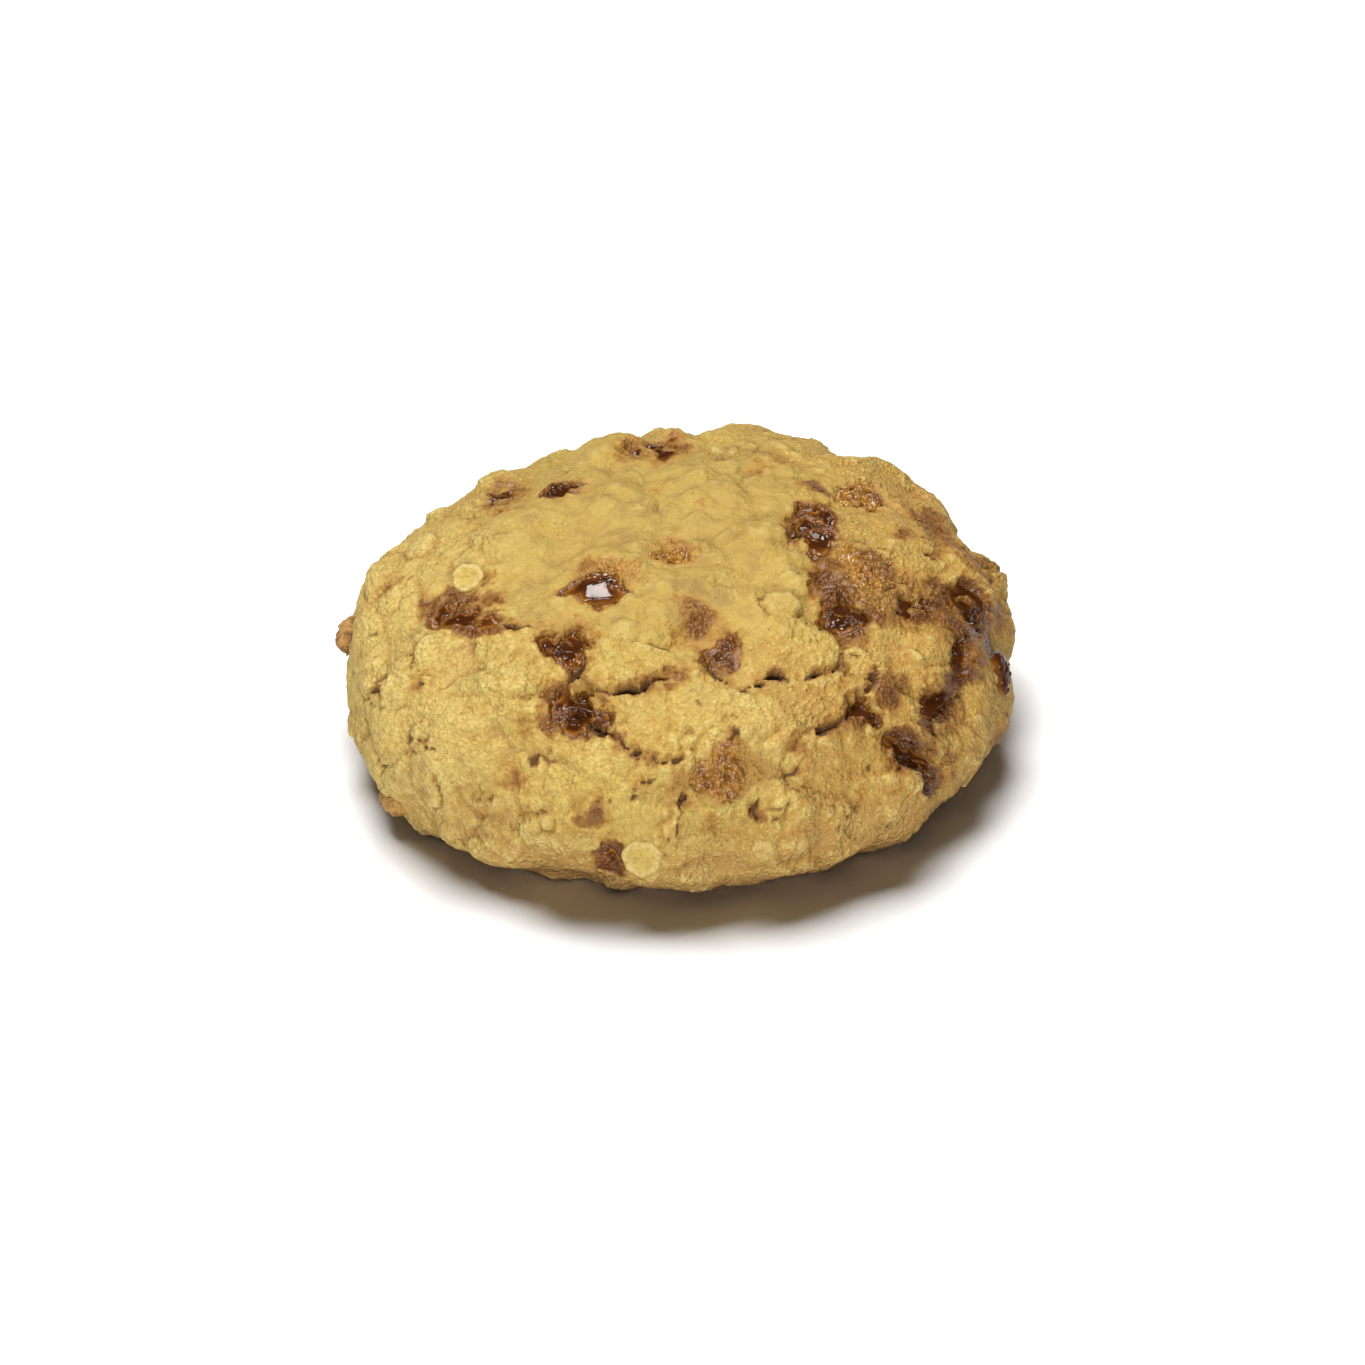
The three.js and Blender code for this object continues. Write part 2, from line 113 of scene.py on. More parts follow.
# The crust is a square sheet of points bent over the round, so that its points lie evenly.
GRID = 304
side = np.linspace(-1, 1, GRID)
across, along = (flat.ravel() for flat in np.meshgrid(side, side, indexing="ij"))
wide = np.abs(across) > np.abs(along)
arm = np.where(wide, across, along)
turn = np.where(wide, math.pi / 4 * along / across, math.pi / 2 - math.pi / 4 * across / along)
crust_bearing = np.degrees(np.arctan2(arm * np.sin(turn), arm * np.cos(turn)))
crust_tape = np.interp(arm**2 * section_area[-1], section_area, section_tape)
crust = crust_point(crust_bearing, crust_tape)
crust_out = crust_normal(crust_bearing, crust_tape)

# Lumps, long waves and knobs of the crust, as on the solid. A knob has a place, radius and height.
SWELL, SWELL_WAVES, SWELL_LONGEST, SWELL_SHORTEST = 0.42, 10, 21, 8
LUMPS, LUMP_RADIUS, LUMP_SPREAD, LUMP_LEAST, LUMP_MEAN = 260, 3, 2.6, 0.3, 0.7
FOOT_CALM = 7
KNOBS = [
    (8, 50, 7, 0.7), (17, 46.5, 5, 0.6), (21, 41, 4, -1), (25.5, 44.5, 5, -1.6),
    (34, 41, 4.5, 0.7), (44, 37.5, 6, 1.6), (52.5, 33, 5.5, -1.1), (62, 37, 5, 0.5),
    (73.5, 34, 5.5, 1.5), (86, 30, 4, -0.9), (87, 35, 6, -1.6), (93, 29, 3.4, 1.3),
    (111, 33.5, 4.5, 0.9), (116.5, 38, 5, -1), (143, 39.5, 5.5, -1.1), (172, 42.5, 7, 0.9),
    (190, 52, 5.5, -1), (206, 55.5, 5, -0.5), (217, 60.5, 5.5, 1), (226, 34, 7, 0.8),
    (230, 60, 7, 0.6), (250, 62.5, 10, -1.3), (279, 34, 8, 0.9), (292, 62, 5.5, -0.9),
    (305, 59, 5, -0.5), (315, 61, 4.5, 0.7), (322, 58.5, 4, -0.4), (329, 58.5, 4, 0.8),
    (331, 37, 5, 1), (336.5, 55, 4, -0.9), (349, 54, 7, 0.9),
]
GOLDEN_TURN = math.pi * (3 - math.sqrt(5))

draw = draws(303)
lumps = []
for _ in range(LUMPS):
    centre = crust_point(*drawn_place(draw, 0))
    lumps.append((centre, LUMP_RADIUS + LUMP_SPREAD * next(draw), LUMP_LEAST + next(draw) ** 2))
knobs = [(crust_point(bearing, tape), radius, height) for bearing, tape, radius, height in KNOBS]


def nearness(points, centre, radius):
    return (1 - ((points - centre) ** 2).sum(axis=-1) / radius**2).clip(0)


def close_to(centre, reach):
    """Numbers of the crust's points within reach of a place."""
    return np.flatnonzero(((crust - centre) ** 2).sum(axis=1) < reach**2)


def raise_to(field, near, values):
    """Raises a field at some of the crust's points to the values, where they are higher."""
    field[near] = np.maximum(field[near], values)


def patch(place, heading, tilt, spans, reach, sheet):
    """Points of the crust near a place, and where they lie in a patch that is turned to a heading."""
    centre, out = crust_point(*place), crust_normal(*place)
    first = np.cross(out, [math.cos(heading), math.sin(heading), tilt])
    first /= np.linalg.norm(first)
    near = close_to(centre, reach)
    offset = sheet[near] - centre
    return near, offset @ first / spans[0], offset @ np.cross(out, first) / spans[1]


def relief_at(points, tape):
    waves = 0
    for i in range(SWELL_WAVES):
        share = (i + 0.5) / SWELL_WAVES
        rise = 1 - 2 * share
        heading = i * GOLDEN_TURN
        level = math.sqrt(1 - rise * rise)
        length = SWELL_LONGEST + (SWELL_SHORTEST - SWELL_LONGEST) * share
        direction = np.array([level * math.cos(heading), level * math.sin(heading), rise])
        waves = waves + np.sin(points @ direction * 2 * math.pi / length + heading)
    cobble = 0
    for centre, radius, height in lumps:
        cobble = np.maximum(cobble, height * nearness(points, centre, radius))
    knob = sum(height * nearness(points, centre, radius) ** 2 for centre, radius, height in knobs)
    calm = 1 - blend(foot_tape - FOOT_CALM, foot_tape, tape)
    return (SWELL / math.sqrt(SWELL_WAVES / 2) * waves + cobble - LUMP_MEAN + knob) * calm


def relief_near(bearing, tape):
    return relief_at(crust_point(bearing, tape)[None], np.array([tape]))[0]


def soften(values, reach):
    sheet = np.pad(values.reshape(GRID, GRID), reach, mode="edge")
    for axis in (0, 1):
        total = np.insert(np.cumsum(sheet, axis=axis), 0, 0, axis=axis)
        ahead = np.take(total, range(2 * reach + 1, total.shape[axis]), axis=axis)
        behind = np.take(total, range(total.shape[axis] - 2 * reach - 1), axis=axis)
        sheet = (ahead - behind) / (2 * reach + 1)
    return sheet.ravel()


# Clods of the crust in three sizes that meet in creases: size, height and width of the crease.
# They are rough on the sides, soft on the crown and calm at the foot.
CLODS_BROAD, CLODS_MIDDLE, CLODS_FINE = (5.6, 0.7, 0.16), (2.6, 0.32, 0.2), (1.2, 0.2, 0.3)
CLOD_LEAST, CREASE_LINE = 0.35, 0.35
WAVER_SIZES, WAVER_SHIFT = (3.2, 1.4, 0.7), 11
RIPPLE, RIPPLE_SIZE, FINE_WAVER = 0.12, 1.7, 0.1
CRAG_SIZE, CROWN_SIZE, CROWN_WITHIN, CROWN_END, CROWN_SOFT = 9, 7, 16, 36, 0.7
CALM_START, CALM_END = 15, 6


def drift(points, size, shift):
    return np.stack([grain(points, size, shift + step) for step in (0, 0.31, 0.67)], axis=1)


def clods(points, layer, seed):
    """Heights of the clods of one size, how near each point is to a crease, and each clod's draw."""
    size, height, crease = layer
    random = np.random.default_rng(seed)
    count = round(math.pi * section_area[-1] / size**2)
    tapes = np.interp(section_area[-1] * random.random(count), section_area, section_tape)
    tree = kdtree.KDTree(count)
    for number, site in enumerate(crust_point(360 * random.random(count), tapes)):
        tree.insert(site, number)
    tree.balance()
    found = [tree.find_n(point, 2) for point in points]
    inset = np.array([following[2] - nearest[2] for nearest, following in found]) / size
    clod_draw = random.random(count)[[nearest[1] for nearest, following in found]]
    rounded = (CLOD_LEAST + (1 - CLOD_LEAST) * clod_draw) * (1 - np.exp(-inset / crease))
    return height * (rounded - 0.5), np.exp(-inset / (CREASE_LINE * crease)), clod_draw


calm = 1 - blend(foot_tape - FOOT_CALM, foot_tape, crust_tape)
relief = soften(relief_at(crust, crust_tape), 1)
waver_broad, waver, waver_fine = (
    drift(crust, size, WAVER_SHIFT + step) for step, size in enumerate(WAVER_SIZES)
)


def wavered(*shares):
    """The crust's points, moved by shares of the broad, the middle and the fine waver."""
    moved = crust
    for share, wave in zip(shares, (waver_broad, waver, waver_fine)):
        moved = moved + share * wave
    return moved


ripple = grain(crust, RIPPLE_SIZE, 2)
craggy = 0.4 + 0.6 * blend(-0.35, 0.3, grain(crust, CRAG_SIZE, 4) - 0.012 * crust[:, 1])
broad, broad_crease, broad_draw = clods(wavered(0.9, 0.5), CLODS_BROAD, 21)
middle, middle_crease, middle_draw = clods(wavered(0.6, 0.4), CLODS_MIDDLE, 22)
fine, fine_crease, fine_draw = clods(wavered(0, 0.3, 0.25), CLODS_FINE, 23)
crown_tape = crust_tape + 12 * grain(crust, CROWN_SIZE, 6) + 0.2 * crust[:, 0].clip(0)
crowned = blend(CROWN_END, CROWN_WITHIN, crown_tape)
relief += CROWN_SOFT * crowned * soften(broad, 2)
low_calm = 1 - 0.6 * blend(foot_tape - CALM_START, foot_tape - CALM_END, crust_tape)
relief += (broad + middle) * craggy * low_calm
relief += (fine * craggy + RIPPLE * ripple + FINE_WAVER * waver_fine[:, 0]) * (0.4 + 0.6 * calm)

# Some of the creases opened as the crust dried.
GAPE_DEPTH, GAPE_SIZE, GAPE_CALM, GAPE_FULL = 0.5, 5, 14, 30
opening = blend(0.1, 0.4, grain(crust, GAPE_SIZE, 8)) * craggy
opening = opening * (0.35 + 0.65 * blend(GAPE_CALM, GAPE_FULL, crust_tape))
gaping = np.maximum(broad_crease, 0.5 * middle_crease) * opening
relief -= GAPE_DEPTH * gaping

# Oats just under the crust show as low plates with a slit along one side of each.
PLATES, PLATE_RADIUS, PLATE_SPREAD, PLATE_OVAL = 110, 1.5, 1.7, 0.8
PLATE_PROUD, PLATE_PROUD_SPREAD, PLATE_MARGIN = 0.12, 0.3, 5
SLIT_DEPTH, SLIT_PLACE, SLIT_WIDTH = 0.3, 1.1, 0.1
draw = draws(771)
slit, plate_top = np.zeros((2, len(crust)))
for _ in range(PLATES):
    place = drawn_place(draw, PLATE_MARGIN)
    radius, heading = PLATE_RADIUS + PLATE_SPREAD * next(draw), 2 * math.pi * next(draw)
    proud, gape = PLATE_PROUD + PLATE_PROUD_SPREAD * next(draw), next(draw)
    near, x, y = patch(place, heading, 0.3, (radius, PLATE_OVAL * radius), 2 * radius, crust)
    e = np.hypot(x, y) * (1 + 0.25 * ripple[near])
    relief[near] += proud * blend(1.12, 0.86, e) * (1 + 0.7 * x)
    raise_to(plate_top, near, blend(1.05, 0.8, e))
    edge = bell(e - SLIT_PLACE, SLIT_WIDTH) * blend(0.2, 0.9, x / np.maximum(e, 0.1))
    edge = edge * blend(0.3, 1, gape)
    relief[near] -= SLIT_DEPTH * edge
    raise_to(slit, near, edge)

# Cracks opened as the round spread: places along each one, its width and its depth. Short crevices
# lie between them at random.
CRACKS = [
    ([(245, 30.5), (256, 30), (263, 28.5), (274, 26.2)], 1.3, 1.9),
    ([(284, 30.5), (294, 29.5), (300, 30.5)], 1.5, 2.2),
    ([(245, 33.5), (251, 35.5), (255, 36.6)], 1.5, 2.2),
    ([(253, 36.2), (258, 37.5), (266, 39.5), (272, 39)], 0.9, 1.4),
    ([(295, 38.5), (302, 38), (309, 37)], 1.3, 2),
    ([(320, 32.5), (316, 35.5), (311, 36.5)], 1.2, 1.8),
    ([(283.8, 44.6), (283.2, 46.8), (282.8, 49.4)], 1, 1.6),
    ([(270.5, 43.2), (270.2, 44.6), (269.6, 46)], 1.1, 1.5),
    ([(270, 45.6), (268.4, 48.6), (266.5, 52)], 0.6, 0.7),
    ([(288, 42), (291.5, 42.6), (293.5, 41.4)], 0.8, 1.1),
    ([(229, 49), (233, 48.6), (236, 47.6)], 0.6, 0.8),
    ([(322.5, 43.5), (323.5, 44.6), (325, 46)], 0.8, 1.1),
    ([(213, 27.3), (217, 26.4), (224, 24.4)], 1.1, 0.9),
    ([(241, 26.5), (242, 28.4), (240.5, 30.4)], 1.6, 1.1),
    ([(272, 26.5), (279, 26.8), (286, 30)], 1, 1.2),
    ([(298, 30.5), (309, 31), (319, 30.8)], 0.9, 1.1),
    ([(216.5, 45.2), (219, 45), (222, 44.8)], 0.9, 1),
    ([(206.5, 39.2), (210.5, 38.8), (214, 38.5)], 1, 1),
    ([(200.5, 45.8), (202.5, 44.5), (204, 43.2)], 0.8, 0.8),
    ([(286, 48.2), (287.5, 47.8)], 0.7, 0.9),
    ([(300.5, 49), (300.5, 50), (301, 51)], 0.7, 0.9),
    ([(279, 36.8), (281, 36.5), (282.5, 36)], 1, 1.1),
    ([(4.5, 31.5), (4.5, 32.5), (2.5, 33)], 1, 1.1),
    ([(224, 59.2), (227, 59.2)], 0.7, 0.7),
    ([(312.5, 41.8), (315, 44.5), (318, 48), (321, 52)], 1.8, 2),
]
CRACK_SAMPLES, CRACK_END, CRACK_LEAST = 14, 0.15, 0.15
CRACK_LEDGE, LEDGE_REACH = 0.24, 2.6
LIP_RISE, LIP_PLACE, LIP_WIDTH = 0.2, 0.5, 0.6
CREVICES, CREVICE_SHORTEST, CREVICE_SPREAD, CREVICE_WIDTH, CREVICE_DEPTH = 12, 1.5, 3, 0.8, 0.8
CREVICE_MARGIN, CREVICE_FROM_CROWN = 16, 10

ragged = wavered(0.5, 0.6, 0.25)
broken, crack_painted_shade, crack_stain = np.zeros((3, len(crust)))
cracks = list(CRACKS)
draw = draws(5303)
for _ in range(CREVICES):
    bearing, tape = drawn_place(draw, CREVICE_MARGIN)
    tape += CREVICE_FROM_CROWN
    heading, length = 2 * math.pi * next(draw), CREVICE_SHORTEST + CREVICE_SPREAD * next(draw)
    around = math.degrees(length * math.cos(heading) / np.linalg.norm(crust_point(bearing, tape)[:2]))
    down = length * math.sin(heading)
    bend = (bearing + around / 2, tape + down / 2 + 0.8 * next(draw) - 0.4)
    places = [(bearing, tape), bend, (bearing + around, tape + down)]
    cracks.append((places, CREVICE_WIDTH, CREVICE_DEPTH))
for places, width, depth in cracks:
    stations = np.linspace(0, len(places) - 1, CRACK_SAMPLES * (len(places) - 1) + 1)
    bearings, tapes = np.transpose(places)
    legs = np.arange(len(places))
    line_tape = np.interp(stations, legs, tapes)
    line = crust_point(np.interp(stations, legs, bearings), line_tape)
    middle_place = line.mean(axis=0)
    near = close_to(middle_place, np.linalg.norm(line - middle_place, axis=1).max() + 4)
    gaps = np.linalg.norm(ragged[near, None] - line[None], axis=2)
    station = gaps.argmin(axis=1)
    away = gaps.min(axis=1)
    opened = CRACK_END + (1 - CRACK_END) * np.sin(math.pi * station / (len(line) - 1))
    half = width / 2 * opened * (0.85 + 0.7 * ripple[near]).clip(0.3)
    cut = (1 - (away / half.clip(CRACK_LEAST)) ** 2).clip(0) * opened
    lip = bell(away - half - LIP_PLACE, LIP_WIDTH)
    downhill = np.tanh((crust_tape[near] - line_tape[station]) / 0.6)
    relief[near] += CRACK_LEDGE * depth * downhill * np.exp(-away / LEDGE_REACH) * opened
    relief[near] += LIP_RISE * lip * opened
    relief[near] -= depth * (0.8 + 0.4 * waver_fine[near, 1]) * cut**0.8
    raise_to(broken, near, opened * blend(3.5, 0.2, away - half))
    raise_to(crack_painted_shade, near, cut**0.4)
    raise_to(crack_stain, near, opened * blend(0.4 + 1.2 * width, 0.2, away - half) * min(1, width))

# Pores where steam broke through: place, length and width. A few more lie at random.
PORES = [
    (222.5, 44.5, 1.1, 0.5), (216, 45.8, 1.2, 0.5), (241, 41.2, 2, 1.2), (190, 40.8, 1, 0.4),
    (279.5, 39.5, 1.6, 0.7), (275, 42.5, 1.6, 0.7), (286.5, 48.2, 1.2, 0.5), (257, 44.5, 1, 0.4),
    (261.5, 44.2, 1.2, 0.6), (273.5, 31.8, 0.8, 0.4), (306.5, 44.8, 0.8, 0.4), (298.5, 51.5, 1, 0.4),
]
PORES_SCATTERED, PORE_LENGTH, PORE_SPREAD, PORE_WIDTH = 6, 0.8, 0.9, 0.5
PORE_DEPTH, PORE_MARGIN, PORE_EDGE, PORE_REACH = 0.8, 0.2, 4, 1.5
draw = draws(9151)
pores = list(PORES)
for _ in range(PORES_SCATTERED):
    place = drawn_place(draw, PORE_EDGE)
    pores.append((*place, PORE_LENGTH + PORE_SPREAD * next(draw) ** 2, PORE_WIDTH))
pore_painted_shade = np.zeros(len(crust))
for bearing, tape, length, width in pores:
    spans = length / 2 + PORE_MARGIN, width / 2 + PORE_MARGIN
    heading = 2 * math.pi * next(draw)
    near, x, y = patch((bearing, tape), heading, 0.2, spans, length + PORE_REACH, ragged)
    cut = (1 - x * x - y * y).clip(0)
    relief[near] -= PORE_DEPTH * width * cut
    raise_to(pore_painted_shade, near, cut**0.6)

# Pits that the caramel melted into: the two ends of each, its width, its depth, and the level
# of the caramel in it against the crust. Islands of crust cover a share of some.
PITS = {
    "caramel_crown": ((213, 18.5), (240, 13), 4.6, 2.4, -0.9),
    "caramel_crown_left": ((153, 21), (141, 18), 3.6, 2.2, -0.8),
    "caramel_crown_right": ((25, 19), (350, 15.5), 5.2, 3, -1.1),
    "caramel_crown_front": ((270, 20.5), (288, 23.5), 4.2, 2, -0.8),
    "caramel_back_rim": ((110, 19), (89, 26), 5.6, 2.8, -0.9),
    "caramel_back_left": ((140, 30.5), (161, 25.5), 5.4, 2, -0.5),
    "caramel_left": ((195, 32), (213, 27), 5, 2.2, -0.7),
    "caramel_left_inner": ((226, 24), (244, 26), 5, 3.2, -1.5),
    "caramel_front_left": ((239, 30), (252, 36), 6.4, 4.2, -2.2),
    "caramel_front_foot": ((257, 51), (258, 56), 2.8, 1.8, -0.6),
    "caramel_fork": ((308, 35), (312, 39.2), 3.4, 3.2, -1.8),
    "caramel_front_split": ((312, 41.5), (321, 52), 3.4, 3, -1.4),
    "caramel_right_front": ((321, 42), (333, 42.5), 4, 2.6, -1.1),
    "caramel_right_seam": ((342, 38), (336, 43), 2.8, 2.2, -0.9),
    "caramel_right_inner": ((321, 22), (328, 28), 5.6, 2.8, -1.1),
    "caramel_right_middle": ((339, 29), (344, 33.5), 4.4, 2.4, -0.9),
    "caramel_right_outer": ((359, 35), (352, 43), 5.8, 3, -1.1),
    "caramel_right_bead": ((351, 45.5), (347, 49.5), 3.4, 1.4, 0.5),
    "caramel_left_tab": ((175.5, 47.5), (180, 50.5), 3.8, 1.4, 1.2),
    "caramel_foot_tab": ((208.5, 57.5), (213.5, 58.5), 2.6, 1.2, 1.2),
    "caramel_rear_left": ((128, 42), (137, 46), 4.6, 2.4, -0.9),
    "caramel_rear_middle": ((97, 42), (104, 48), 5, 2.8, -1),
    "caramel_rear_right": ((63, 43), (55, 47), 4.8, 2.6, -1),
    "toffee_right": ((352, 21), (344, 28), 9.5, 1.6, -0.1),
    "toffee_front": ((274, 38), (281, 44), 7.4, 1.5, -0.1),
    "toffee_back_right": ((24, 23), (34, 29), 5.6, 1.4, -0.1),
    "toffee_crown": ((241, 6), (284, 6), 4.4, 1.3, 0),
    "toffee_rear": ((80, 40), (86, 44), 6, 1.4, -0.1),
}
PIT_WOBBLE, PIT_TAPER, PIT_BELLY, PIT_LIP = 0.13, 0.9, 1.6, 0.5
MENISCUS, RIM_FREE = 0.1, 0.2
DOMED = {"caramel_crown": (0.55, 0.9)}
COVERED = {
    "caramel_crown": 0.15, "caramel_back_left": 0.74, "caramel_back_rim": 0.62, "caramel_left": 0.5,
    "caramel_right_outer": 0.3, "caramel_crown_front": 0.72, "caramel_right_middle": 0.3,
    "caramel_front_left": 0.25, "caramel_left_inner": 0.25, "caramel_front_split": 0.05,
}
COVERED_USUAL, SHALLOW = 0.25, {"caramel_crown": 0.6}


def pit_frame(start, end):
    turned = 180 if abs(start[0] - end[0]) > 180 else 0
    bearing, tape = (start[0] + end[0]) / 2 + turned, (start[1] + end[1]) / 2
    out = crust_normal(bearing, tape)
    chord = crust_point(*end) - crust_point(*start)
    lengthways = chord - out * (chord @ out)
    lengthways /= np.linalg.norm(lengthways)
    axes = np.array([lengthways, np.cross(out, lengthways), out])
    return crust_point(bearing, tape), axes, np.linalg.norm(chord) / 2


pits = {name: (*pit, *pit_frame(*pit[:2])) for name, pit in PITS.items()}


def outline(turn, start):
    phase = start[0] + start[1]
    return 1 + PIT_WOBBLE * (np.sin(2 * turn + phase) + np.sin(3 * turn + 2 * phase))


def pit_share(name, spot):
    """How far points in a pit's frame are from its middle, as a share of the way to its edge."""
    start, end, width, *_, half_length = pits[name]
    x, y = spot[:, 0] / half_length, spot[:, 1] / (width / 2)
    return np.hypot(x, y) / outline(np.arctan2(y, x), start)


def pool_height(name, x, y, e):
    """Height of the caramel in its pit's frame: it set as level as the rim of the pit let it."""
    start, end, width, depth, level, centre, axes, half_length = pits[name]
    slope = axes[:2, 2] / max(axes[2, 2], 0.3)
    climb = math.hypot(slope[0] * half_length, slope[1] * width / 2)
    kept = 0 if name in DOMED else min(1, max(0, -level - RIM_FREE) / max(climb, 0.01))
    dome, arch = DOMED.get(name, (MENISCUS, 0))
    along = x / half_length - 0.2
    return level + dome * (1 - e**2) + arch * (0.3 - along**2) - kept * (slope[0] * x + slope[1] * y)


# Oats that lie bare in the face of the crust, and oats that have dough baked over them and are part
# of it: place, radius and how far each stands proud, and for a bare one how it tips. More of the
# second kind lie at random, clear of the pits and of each other.
OATS = [(263, 52, 2.5, 0.38, (0, 0, 0.28)), (190.5, 26.8, 2.1, 0.6, (0, -0.45, 0))]
OATS_UNDER = [(75.5, 22.5, 2.1, 0.3), (292.5, 41.8, 2.3, 0.35), (316, 31.5, 2.2, 0.35)]
OATS_SCATTERED, OAT_PROUD, OAT_LEAN, OAT_CLEAR, OAT_OVAL = 12, 0.2, 0.2, 1.2, 0.96
OAT_RADIUS, OAT_SPREAD, OAT_COVER, OAT_SLIT, OAT_SLIT_WIDTH = 1.9, 0.7, 0.2, 0.35, 0.09
OAT_FOLD, OAT_FOLD_WIDTH, OAT_SEAT, SEAT_REACH = 0.12, 0.3, 0.3, 1.6

taken = [(crust_point(bearing, tape), radius) for bearing, tape, radius, *_ in OATS + OATS_UNDER]
taken += [(centre, half_length) for *_, centre, axes, half_length in pits.values()]
covered_oats = [(*oat, 0, 0) for oat in OATS_UNDER]
draw = draws(4409)
while len(covered_oats) < len(OATS_UNDER) + OATS_SCATTERED:
    place = drawn_place(draw, FOOT_CALM)
    radius = OAT_RADIUS + OAT_SPREAD * next(draw)
    lean, spin = OAT_LEAN * (2 * next(draw) - 1), 2 * math.pi * next(draw)
    centre = crust_point(*place)
    if all(np.linalg.norm(centre - other) > reach + radius + OAT_CLEAR for other, reach in taken):
        taken.append((centre, radius))
        covered_oats.append((*place, radius, OAT_PROUD, lean, spin))
for bearing, tape, radius, proud, lean, spin in covered_oats:
    spans = radius, OAT_OVAL * radius
    near, x, y = patch((bearing, tape), spin, 0.3, spans, 2 * radius, ragged)
    e = np.hypot(x, y)
    rise = relief_near(bearing, tape) + proud + OAT_COVER + lean * radius * y
    top = rise - OAT_FOLD * bell(y * radius, OAT_FOLD_WIDTH) + 0.06 * ripple[near] + 0.25 * fine[near]
    relief[near] += (top - relief[near]) * blend(1.02, 0.86, e) * 0.85
    edge = bell(e - SLIT_PLACE, OAT_SLIT_WIDTH) * blend(-0.4, 0.6, np.sin(np.arctan2(y, x) + spin))
    relief[near] -= OAT_SLIT * edge
    raise_to(slit, near, edge)
    raise_to(plate_top, near, blend(1.02, 0.8, e))
oat_rise, oat_facing = [], []
for bearing, tape, radius, proud, tip in OATS:
    centre, out = crust_point(bearing, tape), crust_normal(bearing, tape)
    away = np.linalg.norm(ragged - centre, axis=1) / radius
    rise = relief_near(bearing, tape) + proud
    facing = (out + tip) / np.linalg.norm(out + tip)
    oat_rise.append(rise)
    oat_facing.append(facing)
    leaning = (crust - centre) @ (out - facing / (facing @ out))
    seat = rise - OAT_SEAT + leaning + 2.4 * (away - 0.9).clip(0)
    near = away < SEAT_REACH
    relief[near] = np.minimum(relief[near], seat[near])

# The crust is rougher beside a pit. It is kept whole for a moment, so that each pool knows the
# height of the crust that it broke through, and is then cut away down to the walls of the pits.
PIT_REACH, PIT_NEAR, PIT_FAR, WALL_CLIMB, TOFFEE_SINK = 5, 1.1, 2.1, 7, 0.6

numbers = np.arange(GRID * GRID).reshape(GRID, GRID)
corner = numbers[:-1, :-1].ravel()
crust_faces = np.stack([corner, corner + GRID, corner + GRID + 1, corner + 1], axis=1)
for start, end, width, *_, centre, axes, half_length in pits.values():
    spot = (crust - centre) @ axes.T / [half_length, width / 2, PIT_REACH]
    broken = np.maximum(broken, blend(PIT_FAR, PIT_NEAR, np.linalg.norm(spot, axis=1)))
relief += (0.9 * middle + 1.3 * fine) * broken
whole_crust = crust + relief[:, None] * crust_out
whole_shape = bvhtree.BVHTree.FromPolygons(whole_crust.tolist(), crust_faces.tolist())

ragged_edge = wavered(1.2, 0.8, 0.4)
for name, (start, end, width, depth, level, centre, axes, half_length) in pits.items():
    near = close_to(centre, half_length + width)
    body = crust[near] + relief[near, None] * crust_out[near]
    e = pit_share(name, (body + 0.8 * (ragged_edge[near] - crust[near]) - centre) @ axes.T)
    inside = -depth * ((1 - e**2).clip(0) / PIT_TAPER).clip(0, 1) ** (1 / PIT_BELLY)
    lumpy = grain(crust[near], 2.4, 71) + 0.5 * grain(crust[near], 1.1, 72)
    islands = blend(-0.12, 0.14, lumpy + COVERED.get(name, COVERED_USUAL) - 0.5)
    inside *= SHALLOW.get(name, 1) * (1 - 0.85 * islands)
    if name.startswith("toffee"):
        relief[near] -= TOFFEE_SINK * depth * blend(1.08, 0.75, e) * (1 - 0.6 * islands)
        continue
    wall = np.where(e < 1, inside, WALL_CLIMB * (e - 1)) + 0.4 * fine[near]
    facing = (crust_out[near] @ axes[2]).clip(0.3)
    target = (wall - (crust[near] - centre) @ axes[2]) / facing
    share = (0.5 + (relief[near] - target) / (2 * PIT_LIP)).clip(0, 1)
    cut = relief[near] * (1 - share) + target * share - PIT_LIP * share * (1 - share)
    relief[near] = np.minimum(relief[near], cut)

# Dough beside the caramel is soaked with it, most just above the level of the pool, and toffee
# has crusted the dough beside it.
surface = crust + relief[:, None] * crust_out
surface[:, 2] = surface[:, 2].clip(0)
stain = 0.5 * crack_stain
crusted = np.zeros(len(crust))
for name, (start, end, width, depth, level, centre, axes, half_length) in pits.items():
    near = close_to(centre, half_length + width + 3)
    height = (surface[near] - centre) @ axes[2]
    spot = (crust[near] + 0.7 * (ragged_edge[near] - crust[near]) - centre) @ axes.T
    e = pit_share(name, spot).clip(0.01)
    from_middle = np.hypot(spot[:, 0], spot[:, 1])
    away = from_middle * (1 - 1 / e)
    crown = (axes @ (np.array([0, 0, HEIGHT]) - centre))[:2]
    uphill = spot[:, :2] @ crown / (np.linalg.norm(crown) * from_middle).clip(0.01)
    above = height - pool_height(name, spot[:, 0], spot[:, 1], e.clip(0, 1))
    near_pool = blend(1.6, -0.1, above) * blend(2.2 + 0.8 * uphill, -0.3, away)
    near_pool *= 1 - 0.55 * blend(0.4, 0.75, COVERED.get(name, COVERED_USUAL))
    halo = blend(2.6 + uphill, -0.5, away)
    if name.startswith("toffee"):
        raise_to(crusted, near, blend(1.7, -0.8, away))
    elif level < 0:
        raise_to(stain, near, np.maximum(0.85 * near_pool, 0.45 * halo))

